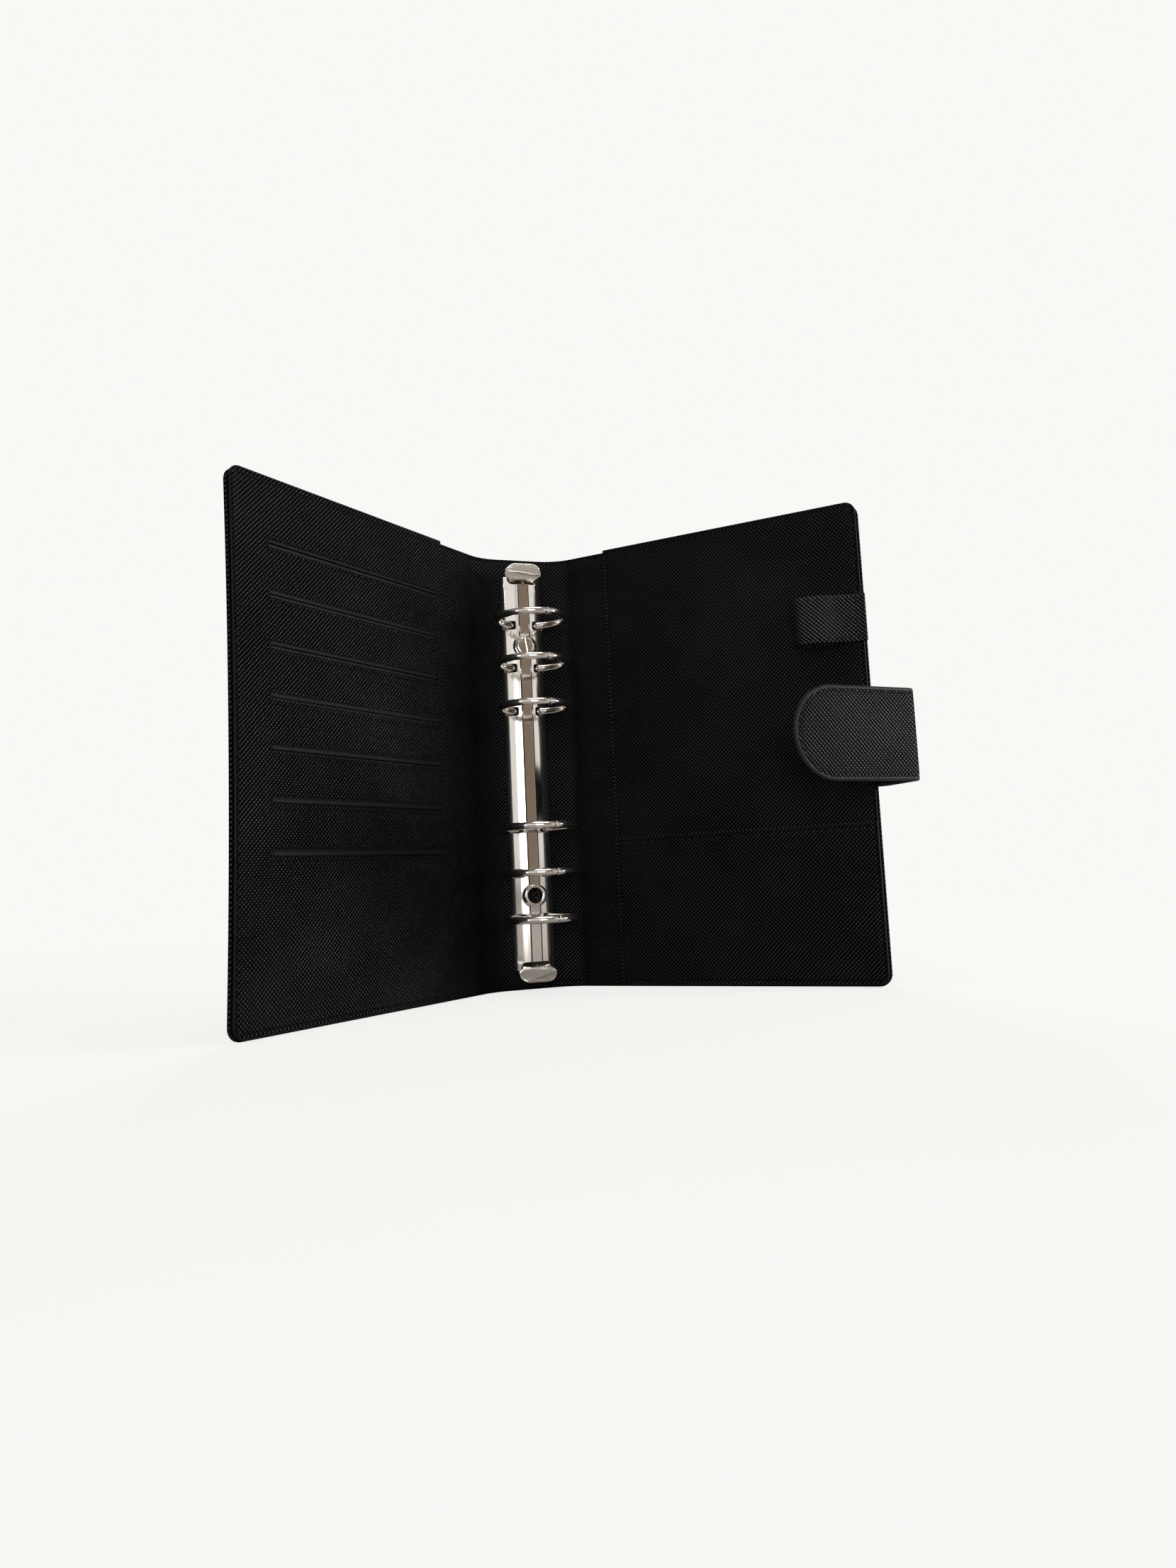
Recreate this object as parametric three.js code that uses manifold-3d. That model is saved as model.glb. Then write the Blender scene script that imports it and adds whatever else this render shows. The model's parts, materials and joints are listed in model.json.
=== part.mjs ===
// Six-ring personal planner binder, standing upright on its bottom edges and opened in a V.
// Millimetres. +Z runs up along the spine, -Y faces the reader, +Y is the outer side of the spine.
// The origin is on the spine leather's bottom edge, at its middle.
import * as THREE from 'three';
import * as BufferGeometryUtils from 'three/addons/utils/BufferGeometryUtils.js';
import Module from 'manifold-3d';

const wasm = await Module();
wasm.setup();

const DEG = Math.PI / 180;

// Covers and their layers, from the outer leather to the inner panels
const COVER_HEIGHT = 190;
const COVER_REACH = 155.3;
const CORNER_RADIUS = 3.5;
const LEATHER_THICKNESS = 0.6;
const BOARD_THICKNESS = 0.9;
const LINER_THICKNESS = 0.4;
const PANEL_THICKNESS = 0.8;
const LAYER_GAP = 0.1;
const LINER_INSET = 0.2;
const TURNED_EDGE_WIDTH = 3;
const BOARD_CLEARANCE = 0.3;

// Spine: flat behind the ring mechanism, then curved up to each cover's hinge line
const SPINE_FLAT_HALF = 9.4;
const SPINE_ARC_RADIUS = 19;
const SPINE_ARC_ANGLE = 40.7 * DEG;
const HINGE_CLEARANCE = 0.25;

// How far each cover is bent forward at rest, from flat
const FRONT_REST_ANGLE = 40.7 * DEG;
const BACK_REST_ANGLE = 46.2 * DEG;

// Inside of the front cover: one panel with seven card slits
const CARD_SLIT_COUNT = 7;
const CARD_SLIT_TOP = 165.7;
const CARD_SLIT_PITCH = 17.9;
const CARD_SLIT_WIDTH = 0.8;
const CARD_SLIT_LENGTH = 90;
const CARD_SLIT_FROM_EDGE = 16;
const CARD_SLIT_MARGIN = 5.3;

// Inside of the back cover: a full panel with a lower pocket on it
const BACK_PANEL_START = 41;
const LOWER_POCKET_HEIGHT = 62.6;

// Pen loop on the back cover's free edge
const PEN_LOOP_BOTTOM = 133;
const PEN_LOOP_HEIGHT = 19;
const PEN_LOOP_REACH = 27;
const PEN_LOOP_OVERHANG = 1.2;
const PEN_LOOP_THICKNESS = 1;
const PEN_LOOP_RISE = 9.4;
const PEN_LOOP_SEAM = 4.5;

// Closure strap
const STRAP_BOTTOM = 76;
const STRAP_WIDTH = 34.5;
const STRAP_THICKNESS = 1.8;
const STRAP_SEWN_LENGTH = 42;
const STRAP_BEND_ANGLE = 45 * DEG;
const STRAP_BEND_RADIUS = 6.2;
const STRAP_BRIDGE_LENGTH = 18.2;
const STRAP_FOLD_ANGLE = 81 * DEG;
const STRAP_FLAP_LENGTH = 57;
const STRAP_FOLD_CLEARANCE = 0.25;

// Magnetic snap that shuts the strap
const SNAP_RADIUS = 7;
const SNAP_THICKNESS = 1.8;
const SNAP_FROM_EDGE = 15;

// Ring mechanism
const MECHANISM_DROP = 1;
const PLATE_LENGTH = 170.6;
const PLATE_HALF_WIDTH = 9.3;
const PLATE_HEIGHT = 8.5;
const PLATE_SKIRT = 1.2;
const PLATE_THICKNESS = 0.7;
const PLATE_FOOT_GAP = 0.3;
const PLATE_LIP = 1.5;
const RIDGE_HALF_WIDTH = 2.25;
const RIDGE_STEP = 0.5;
const PLATE_MOUTH_DEPTH = 3.5;
const PLATE_MOUTH_HALF = 8;
const RING_HOLE_PITCH = 19.05;
const RING_MIDDLE_GAP = 50.8;
const RING_OUTER_RADIUS = 16;
const WIRE_RADIUS = 1.5;
const RING_CENTRE_HEIGHT = 20.45;
const RING_JOINT_ANGLE = 10 * DEG;
const RING_JOINT_GAP = 0.3;
const RING_FOOT_BEND = 3;
const RING_FOOT_X = 5.3;
const NOTCH_INNER = 3.6;
const NOTCH_OUTER = 9;
const NOTCH_HEIGHT = 3.9;

// Rails under the plate, one for each row of ring halves
const RAIL_THICKNESS = 1;
const RAIL_EDGE_CLEARANCE = 0.25;
const RAIL_PIVOT_HEIGHT = 1.9;
const RAIL_TILT = 4 * DEG;
const RAIL_CENTRE_GAP = 0.3;
const RAIL_END_INSET = 6.8;
const RAIL_HOLE_CLEARANCE = 0.3;
const RAIL_POST_CLEARANCE = 0.6;

// Opening levers at both ends of the plate
const LEVER_HALF_WIDTH = 8.5;
const LEVER_NECK_HALF = 7.2;
const LEVER_THICKNESS = 1.2;
const LEVER_PIVOT_INSET = 2.6;
const LEVER_PIVOT_HEIGHT = 4;
const LEVER_TIP_RISE = 7.2;
const LEVER_TIP_REACH = 7.5;
const LEVER_CORNER_RADIUS = 5;
const LEVER_NECK_LENGTH = 1.2;
const LEVER_SHOULDER = 0.6;
const LEVER_TIP_TRIM = 0.2;
const LEVER_FINGER_REACH = 3;
const LEVER_FINGER_DROP = 2.4;
const LEVER_ELBOW_REACH = 0.9;
const LEVER_ELBOW_DROP = 1.1;
const LEVER_WAIST_REACH = 0.6;
const LEVER_WAIST_RISE = 1.9;
const LEVER_THUMB_REACH = 3.2;
const LEVER_THUMB_RISE = 4.75;
const LEVER_PIN_RADIUS = 0.9;
const LEVER_PIN_REACH = 0.5;

// Fasteners that hold the plate to the spine board
const SCREW_HEAD_RADIUS = 4.1;
const SCREW_HEAD_HEIGHT = 1.5;
const SCREW_SLOT_WIDTH = 1;
const SCREW_SLOT_DEPTH = 0.7;
const SCREW_SHANK_RADIUS = 1.6;
const SCREW_FIT = 0.2;
const POST_WALL = 0.6;
const POST_FLANGE_RADIUS = 4;
const FLANGE_THICKNESS = 0.4;
const EYELET_FLANGE_RADIUS = 4.6;
const EYELET_BORE_RADIUS = 3.15;
const EYELET_WALL = 0.5;
const FASTENER_CLEARANCE = 0.2;
const BOSS_RADIUS = 5.2;

// Worked-out places. Heights above the inner face point to the reader.
const COVER_DEPTH = LEATHER_THICKNESS + BOARD_THICKNESS + LINER_THICKNESS + 2 * LAYER_GAP;
const OUTER_FACE = -COVER_DEPTH;
const LEATHER_FLOOR = OUTER_FACE + LEATHER_THICKNESS;
const BOARD_BACK = LEATHER_FLOOR + LAYER_GAP;
const LINER_BACK = -LINER_THICKNESS;
const BOARD_FRONT = LINER_BACK - LAYER_GAP;
const PANEL_BACK = LAYER_GAP;
const PANEL_FRONT = PANEL_BACK + PANEL_THICKNESS;
const POCKET_BACK = PANEL_FRONT + LAYER_GAP;
const POCKET_FRONT = POCKET_BACK + PANEL_THICKNESS;
const FOOT_DEPTH = -(OUTER_FACE + BOARD_FRONT) / 2;
const HINGE_DEPTH = OUTER_FACE / 2;
const BEAD_RADIUS = COVER_DEPTH / 2;
const SOCKET_RADIUS = BEAD_RADIUS + HINGE_CLEARANCE;
const HINGE_S = SPINE_FLAT_HALF + SPINE_ARC_RADIUS * SPINE_ARC_ANGLE;
const HINGE_X = SPINE_FLAT_HALF + SPINE_ARC_RADIUS * Math.sin(SPINE_ARC_ANGLE);
const HINGE_Y = -SPINE_ARC_RADIUS * (1 - Math.cos(SPINE_ARC_ANGLE));
const PIVOT_X = HINGE_X - HINGE_DEPTH * Math.sin(SPINE_ARC_ANGLE);
const PIVOT_Y = HINGE_Y - HINGE_DEPTH * Math.cos(SPINE_ARC_ANGLE);
const CARD_PANEL_START = COVER_REACH - CARD_SLIT_FROM_EDGE - CARD_SLIT_LENGTH - CARD_SLIT_MARGIN;
const MECHANISM_CENTRE = COVER_HEIGHT / 2 - MECHANISM_DROP;
const PLATE_TOP = MECHANISM_CENTRE + PLATE_LENGTH / 2;
const PLATE_BOTTOM = MECHANISM_CENTRE - PLATE_LENGTH / 2;
const RING_RADIUS = RING_OUTER_RADIUS - WIRE_RADIUS;
const RING_OFFSETS = [2, 1, 0].map((step) => RING_MIDDLE_GAP / 2 + step * RING_HOLE_PITCH);
const RING_HEIGHTS = [...RING_OFFSETS, ...[...RING_OFFSETS].reverse().map((offset) => -offset)]
  .map((offset) => MECHANISM_CENTRE + offset);
const SCREW_Z = (RING_HEIGHTS[0] + RING_HEIGHTS[1]) / 2;
const EYELET_Z = (RING_HEIGHTS[4] + RING_HEIGHTS[5]) / 2;
const POST_RADIUS = SCREW_SHANK_RADIUS + SCREW_FIT + POST_WALL;
const EYELET_TUBE_RADIUS = EYELET_BORE_RADIUS + EYELET_WALL;

const ROUND_SIDES = 24;
const WIRE_SIDES = 10;
const WIRE_STEPS = 20;
const ARC_STEPS = 8;

const material = {
  leather: new THREE.MeshStandardMaterial({ color: 0x141415, roughness: 0.5, metalness: 0 }),
  strap: new THREE.MeshStandardMaterial({ color: 0x1f1f21, roughness: 0.55, metalness: 0 }),
  board: new THREE.MeshStandardMaterial({ color: 0x77736b, roughness: 0.9, metalness: 0 }),
  nickel: new THREE.MeshStandardMaterial({ color: 0xc9c4bc, roughness: 0.15, metalness: 1 }),
  steel: new THREE.MeshStandardMaterial({ color: 0x9a9a98, roughness: 0.35, metalness: 1 }),
};

// Solids from three.js geometry, for cutting and joining
function solidOf(geometry) {
  const bare = geometry.clone();
  bare.deleteAttribute('normal');
  bare.deleteAttribute('uv');
  const merged = BufferGeometryUtils.mergeVertices(bare, 1e-4);
  return new wasm.Manifold(new wasm.Mesh({
    numProp: 3,
    vertProperties: new Float32Array(merged.attributes.position.array),
    triVerts: new Uint32Array(merged.index.array),
  }));
}

function geometryOf(solid) {
  const mesh = solid.getMesh();
  const geometry = new THREE.BufferGeometry();
  geometry.setAttribute('position', new THREE.BufferAttribute(new Float32Array(mesh.vertProperties), 3));
  geometry.setIndex(new THREE.BufferAttribute(new Uint32Array(mesh.triVerts), 1));
  geometry.computeVertexNormals();
  return geometry;
}

function cutAway(geometry, cutters) {
  return geometryOf(cutters.reduce((solid, cutter) => solid.subtract(solidOf(cutter)), solidOf(geometry)));
}

function joined(geometries) {
  return geometryOf(geometries.map(solidOf).reduce((sum, solid) => sum.add(solid)));
}

function namedMesh(name, geometry, look) {
  const mesh = new THREE.Mesh(geometry, look.clone());
  mesh.name = name;
  return mesh;
}

// A plan outline, drawn in X and Y, raised from one height to another
function raised(points, zLow, zHigh) {
  const shape = new THREE.Shape(points.map(([x, y]) => new THREE.Vector2(x, y)));
  const geometry = new THREE.ExtrudeGeometry(shape, { depth: zHigh - zLow, bevelEnabled: false });
  return geometry.translate(0, 0, zLow);
}

// An outline drawn in X and Z, as a sheet between two places along Y
function sheet(shape, yA, yB) {
  const geometry = new THREE.ExtrudeGeometry(shape, {
    depth: Math.abs(yB - yA),
    bevelEnabled: false,
    curveSegments: ARC_STEPS / 2,
  });
  return geometry.rotateX(Math.PI / 2).translate(0, Math.max(yA, yB), 0);
}

// A round bar along Y
function barAlongY(radius, yA, yB, x, z, sides = ROUND_SIDES) {
  const geometry = new THREE.CylinderGeometry(radius, radius, Math.abs(yB - yA), sides);
  return geometry.translate(x, (yA + yB) / 2, z);
}

// A round bar along Z
function barAlongZ(radius, zLow, zHigh, x, y, sides = ROUND_SIDES) {
  const geometry = new THREE.CylinderGeometry(radius, radius, zHigh - zLow, sides);
  return geometry.rotateX(Math.PI / 2).translate(x, y, (zLow + zHigh) / 2);
}

function block(xA, xB, yA, yB, zA, zB) {
  const geometry = new THREE.BoxGeometry(Math.abs(xB - xA), Math.abs(yB - yA), Math.abs(zB - zA));
  return geometry.translate((xA + xB) / 2, (yA + yB) / 2, (zA + zB) / 2);
}

// A rectangle in X and Z whose two far corners, at xFar, are rounded
function coverOutline(xNear, xFar, zLow, zHigh, radius) {
  const shape = new THREE.Shape();
  shape.moveTo(xNear, zLow);
  shape.lineTo(xFar - radius, zLow);
  shape.absarc(xFar - radius, zLow + radius, radius, -Math.PI / 2, 0, false);
  shape.absarc(xFar - radius, zHigh - radius, radius, 0, Math.PI / 2, false);
  shape.lineTo(xNear, zHigh);
  shape.closePath();
  return shape;
}

// Spine: offset lines of its curved section, in X and Y at rest
function spinePoint(side, turn, height, past = 0) {
  const reach = SPINE_FLAT_HALF + (SPINE_ARC_RADIUS - height) * Math.sin(turn) + past * Math.cos(turn);
  const drop = SPINE_ARC_RADIUS - (SPINE_ARC_RADIUS - height) * Math.cos(turn) + past * Math.sin(turn);
  return [side * reach, -drop];
}

function spineHalfOutline(side, heightLow, heightHigh) {
  const points = [];
  for (let i = 0; i <= ARC_STEPS; i += 1) {
    points.push(spinePoint(side, (SPINE_ARC_ANGLE * i) / ARC_STEPS, heightHigh));
  }
  for (let i = 1; i < ARC_STEPS; i += 1) {
    const height = heightHigh + ((heightLow - heightHigh) * i) / ARC_STEPS;
    const past = Math.sqrt(Math.max(0, BEAD_RADIUS ** 2 - (height - HINGE_DEPTH) ** 2));
    points.push(spinePoint(side, SPINE_ARC_ANGLE, height, past));
  }
  for (let i = ARC_STEPS; i >= 0; i -= 1) {
    points.push(spinePoint(side, (SPINE_ARC_ANGLE * i) / ARC_STEPS, heightLow));
  }
  return points;
}

function spineLayer(heightLow, heightHigh, zLow, zHigh) {
  const right = spineHalfOutline(1, heightLow, heightHigh);
  const left = spineHalfOutline(-1, heightLow, heightHigh).reverse();
  return raised([...right, ...left], zLow, zHigh);
}

function spinePieces() {
  const boardHalf = SPINE_FLAT_HALF - BOARD_CLEARANCE;
  const boardEnd = COVER_HEIGHT - TURNED_EDGE_WIDTH - BOARD_CLEARANCE;
  const screwHole = POST_RADIUS + FASTENER_CLEARANCE;
  const eyeletHole = EYELET_TUBE_RADIUS + FASTENER_CLEARANCE;
  const through = [
    barAlongY(screwHole, -1, COVER_DEPTH, 0, SCREW_Z),
    barAlongY(eyeletHole, -1, COVER_DEPTH, 0, EYELET_Z),
  ];
  const recess = FLANGE_THICKNESS + 2 * LAYER_GAP;
  const counterbores = [
    barAlongY(POST_FLANGE_RADIUS + FASTENER_CLEARANCE, -BOARD_BACK - recess, COVER_DEPTH, 0, SCREW_Z),
    barAlongY(EYELET_FLANGE_RADIUS + FASTENER_CLEARANCE, -BOARD_BACK - recess, COVER_DEPTH, 0, EYELET_Z),
  ];
  const leather = cutAway(spineLayer(OUTER_FACE, BOARD_FRONT, 0, COVER_HEIGHT), [
    block(
      -SPINE_FLAT_HALF, SPINE_FLAT_HALF, -1, -LEATHER_FLOOR,
      TURNED_EDGE_WIDTH, COVER_HEIGHT - TURNED_EDGE_WIDTH,
    ),
  ]);
  const board = cutAway(
    block(-boardHalf, boardHalf, -BOARD_BACK, -BOARD_FRONT, COVER_HEIGHT - boardEnd, boardEnd),
    [...through, ...counterbores],
  );
  const liner = cutAway(spineLayer(LINER_BACK, 0, LINER_INSET, COVER_HEIGHT - LINER_INSET), through);
  return [
    namedMesh('spine_leather', leather, material.leather),
    namedMesh('spine_board', board, material.board),
    namedMesh('spine_liner', liner, material.leather),
  ];
}

// Arched plate: the outline of half its outer surface as height over distance from its middle
function plateProfile(inset) {
  const points = [[0, PLATE_HEIGHT - inset], [RIDGE_HALF_WIDTH, PLATE_HEIGHT - inset]];
  const flankTop = PLATE_HEIGHT - RIDGE_STEP - PLATE_SKIRT - inset;
  const flankReach = PLATE_HALF_WIDTH - RIDGE_HALF_WIDTH - inset;
  for (let i = 1; i <= ARC_STEPS; i += 1) {
    const turn = (i / ARC_STEPS) * (Math.PI / 2);
    points.push([RIDGE_HALF_WIDTH + flankReach * Math.sin(turn), PLATE_SKIRT + flankTop * Math.cos(turn)]);
  }
  return points;
}

function platePiece() {
  const outer = plateProfile(0);
  const inner = plateProfile(PLATE_THICKNESS);
  const wallX = PLATE_HALF_WIDTH - PLATE_THICKNESS;
  const lipTop = PLATE_FOOT_GAP + PLATE_THICKNESS * 0.8;
  const half = [
    ...outer,
    [PLATE_HALF_WIDTH, PLATE_FOOT_GAP],
    [PLATE_HALF_WIDTH - PLATE_LIP, PLATE_FOOT_GAP],
    [PLATE_HALF_WIDTH - PLATE_LIP, lipTop],
    [wallX, lipTop],
    ...[...inner].reverse(),
  ];
  const mirrored = half.slice(1, -1).reverse().map(([x, height]) => [-x, height]);
  const outline = [...half, ...mirrored].map(([x, height]) => [x, -height]);
  const arch = raised(outline, PLATE_BOTTOM, PLATE_TOP);
  const bossBack = -(PLATE_HEIGHT - PLATE_THICKNESS);
  const bosses = [SCREW_Z, EYELET_Z].map((z) => barAlongY(BOSS_RADIUS, -PLATE_HEIGHT, bossBack, 0, z));
  const notches = RING_HEIGHTS.flatMap((z) => [-1, 1].map((side) => (
    block(side * NOTCH_INNER, side * NOTCH_OUTER, -PLATE_HEIGHT, -RAIL_PIVOT_HEIGHT - RAIL_THICKNESS,
      z - NOTCH_HEIGHT / 2, z + NOTCH_HEIGHT / 2)
  )));
  const mouth = (zLow, zHigh) => (
    block(-PLATE_MOUTH_HALF, PLATE_MOUTH_HALF, -PLATE_HEIGHT - 1, -PLATE_SKIRT, zLow, zHigh)
  );
  const mouths = [
    mouth(PLATE_TOP - PLATE_MOUTH_DEPTH, PLATE_TOP + 1),
    mouth(PLATE_BOTTOM - 1, PLATE_BOTTOM + PLATE_MOUTH_DEPTH),
  ];
  const holes = [
    barAlongY(SCREW_SHANK_RADIUS + SCREW_FIT, -PLATE_HEIGHT - 1, bossBack + 1, 0, SCREW_Z),
    barAlongY(EYELET_TUBE_RADIUS + FASTENER_CLEARANCE, -PLATE_HEIGHT - 1, bossBack + 1, 0, EYELET_Z),
  ];
  const plate = cutAway(joined([arch, ...bosses]), [...notches, ...mouths, ...holes]);
  return namedMesh('ring_plate', plate, material.nickel);
}

// Screw, its post and the eyelet are turned about an axis along Y, drawn as radius over height
function turned(profile, z) {
  const points = profile.map(([radius, height]) => new THREE.Vector2(radius, height));
  return new THREE.LatheGeometry(points, ROUND_SIDES).rotateX(Math.PI).translate(0, 0, z);
}

function fastenerPieces() {
  const headBase = PLATE_HEIGHT + LAYER_GAP;
  const headTop = headBase + SCREW_HEAD_HEIGHT;
  const flangeBack = BOARD_BACK + LAYER_GAP;
  const postTop = PLATE_HEIGHT - PLATE_THICKNESS - LAYER_GAP;
  const screw = turned([
    [0, flangeBack + FLANGE_THICKNESS + SCREW_HEAD_HEIGHT],
    [SCREW_SHANK_RADIUS, flangeBack + FLANGE_THICKNESS + SCREW_HEAD_HEIGHT],
    [SCREW_SHANK_RADIUS, headBase],
    [SCREW_HEAD_RADIUS, headBase],
    [SCREW_HEAD_RADIUS, headBase + SCREW_HEAD_HEIGHT * 0.4],
    [SCREW_HEAD_RADIUS * 0.88, headBase + SCREW_HEAD_HEIGHT * 0.75],
    [SCREW_HEAD_RADIUS * 0.6, headTop],
    [0, headTop],
  ], SCREW_Z);
  const slot = block(
    -SCREW_SLOT_WIDTH / 2, SCREW_SLOT_WIDTH / 2,
    -headTop + SCREW_SLOT_DEPTH, -headTop - 1,
    SCREW_Z - 2 * SCREW_HEAD_RADIUS, SCREW_Z + 2 * SCREW_HEAD_RADIUS,
  );
  const post = turned([
    [0, flangeBack],
    [POST_FLANGE_RADIUS, flangeBack],
    [POST_FLANGE_RADIUS, flangeBack + FLANGE_THICKNESS],
    [POST_RADIUS, flangeBack + FLANGE_THICKNESS],
    [POST_RADIUS, postTop],
    [SCREW_SHANK_RADIUS + SCREW_FIT, postTop],
    [SCREW_SHANK_RADIUS + SCREW_FIT, flangeBack + FLANGE_THICKNESS],
    [0, flangeBack + FLANGE_THICKNESS],
  ], SCREW_Z);
  const eyelet = turned([
    [EYELET_BORE_RADIUS, flangeBack],
    [EYELET_FLANGE_RADIUS, flangeBack],
    [EYELET_FLANGE_RADIUS, flangeBack + FLANGE_THICKNESS],
    [EYELET_TUBE_RADIUS, flangeBack + FLANGE_THICKNESS],
    [EYELET_TUBE_RADIUS, headBase],
    [EYELET_FLANGE_RADIUS, headBase],
    [EYELET_FLANGE_RADIUS - EYELET_WALL / 2, headBase + EYELET_WALL],
    [EYELET_BORE_RADIUS + EYELET_WALL / 2, headBase + EYELET_WALL],
    [EYELET_BORE_RADIUS, headBase],
    [EYELET_BORE_RADIUS, flangeBack],
  ], EYELET_Z);
  return [
    namedMesh('plate_screw', cutAway(screw, [slot]), material.nickel),
    namedMesh('screw_post', post, material.steel),
    namedMesh('plate_eyelet', eyelet, material.nickel),
  ];
}

// Each rail is a flat strip that tips about its outer edge, with holes for the feet of its ring halves
function railPiece(name, side) {
  const outerX = PLATE_HALF_WIDTH - PLATE_THICKNESS - RAIL_EDGE_CLEARANCE;
  const width = outerX - RAIL_CENTRE_GAP;
  const zLow = PLATE_BOTTOM + RAIL_END_INSET;
  const zHigh = PLATE_TOP - RAIL_END_INSET;
  const footAway = outerX - RING_FOOT_X;
  const holeRadius = WIRE_RADIUS + RAIL_HOLE_CLEARANCE;
  const strip = block(0, -side * width, -RAIL_THICKNESS / 2, RAIL_THICKNESS / 2, zLow, zHigh);
  const holes = RING_HEIGHTS.map((z) => (
    barAlongY(holeRadius, -RAIL_THICKNESS, RAIL_THICKNESS, -side * footAway, z, WIRE_SIDES + 2)
  ));
  const posts = [[POST_RADIUS, SCREW_Z], [EYELET_TUBE_RADIUS, EYELET_Z]].map(([radius, z]) => (
    barAlongY(radius + RAIL_POST_CLEARANCE, -RAIL_THICKNESS, RAIL_THICKNESS, -side * outerX, z)
  ));
  const mesh = namedMesh(name, cutAway(strip, [...holes, ...posts]), material.steel);
  mesh.position.set(side * outerX, -RAIL_PIVOT_HEIGHT, 0);
  mesh.rotation.z = -side * RAIL_TILT;
  return mesh;
}

// Centre line of one ring half: from its foot in the rail, round the ring, to the joint near the top
class RingWire extends THREE.Curve {
  constructor(side, z) {
    super();
    this.side = side;
    this.z = z;
    this.footBottom = RAIL_PIVOT_HEIGHT - RAIL_THICKNESS;
    this.bendCentreX = RING_FOOT_X + RING_FOOT_BEND;
    const bendReach = RING_RADIUS + RING_FOOT_BEND;
    this.meetTurn = Math.asin(this.bendCentreX / bendReach);
    this.bendCentreHeight = RING_CENTRE_HEIGHT - bendReach * Math.cos(this.meetTurn);
    this.bendTurn = Math.PI / 2 - this.meetTurn;
    const jointTurn = RING_JOINT_ANGLE * side + RING_JOINT_GAP / 2 / RING_RADIUS;
    this.ringTurn = Math.PI - jointTurn - this.meetTurn;
    this.lengths = [
      this.bendCentreHeight - this.footBottom,
      RING_FOOT_BEND * this.bendTurn,
      RING_RADIUS * this.ringTurn,
    ];
  }

  getPoint(t, target = new THREE.Vector3()) {
    const [foot, bend, round] = this.lengths;
    let along = t * (foot + bend + round);
    let x = RING_FOOT_X;
    let height = this.footBottom + along;
    if (along > foot) {
      along -= foot;
      const turn = Math.min(along / RING_FOOT_BEND, this.bendTurn);
      x = this.bendCentreX - RING_FOOT_BEND * Math.cos(turn);
      height = this.bendCentreHeight + RING_FOOT_BEND * Math.sin(turn);
      along -= bend;
    }
    if (along > 0 && t * (foot + bend + round) > foot + bend) {
      const turn = this.meetTurn + along / RING_RADIUS;
      x = RING_RADIUS * Math.sin(turn);
      height = RING_CENTRE_HEIGHT - RING_RADIUS * Math.cos(turn);
    }
    return target.set(this.side * x, -height, this.z);
  }
}

function circleShape(radius, sides) {
  const shape = new THREE.Shape();
  for (let i = 0; i < sides; i += 1) {
    const turn = (2 * Math.PI * i) / sides;
    const point = [radius * Math.cos(turn), radius * Math.sin(turn)];
    if (i === 0) shape.moveTo(...point);
    else shape.lineTo(...point);
  }
  shape.closePath();
  return shape;
}

function ringHalf(name, side, z) {
  const geometry = new THREE.ExtrudeGeometry(circleShape(WIRE_RADIUS, WIRE_SIDES), {
    steps: WIRE_STEPS,
    extrudePath: new RingWire(side, z),
    bevelEnabled: false,
  });
  return namedMesh(name, geometry, material.nickel);
}

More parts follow.
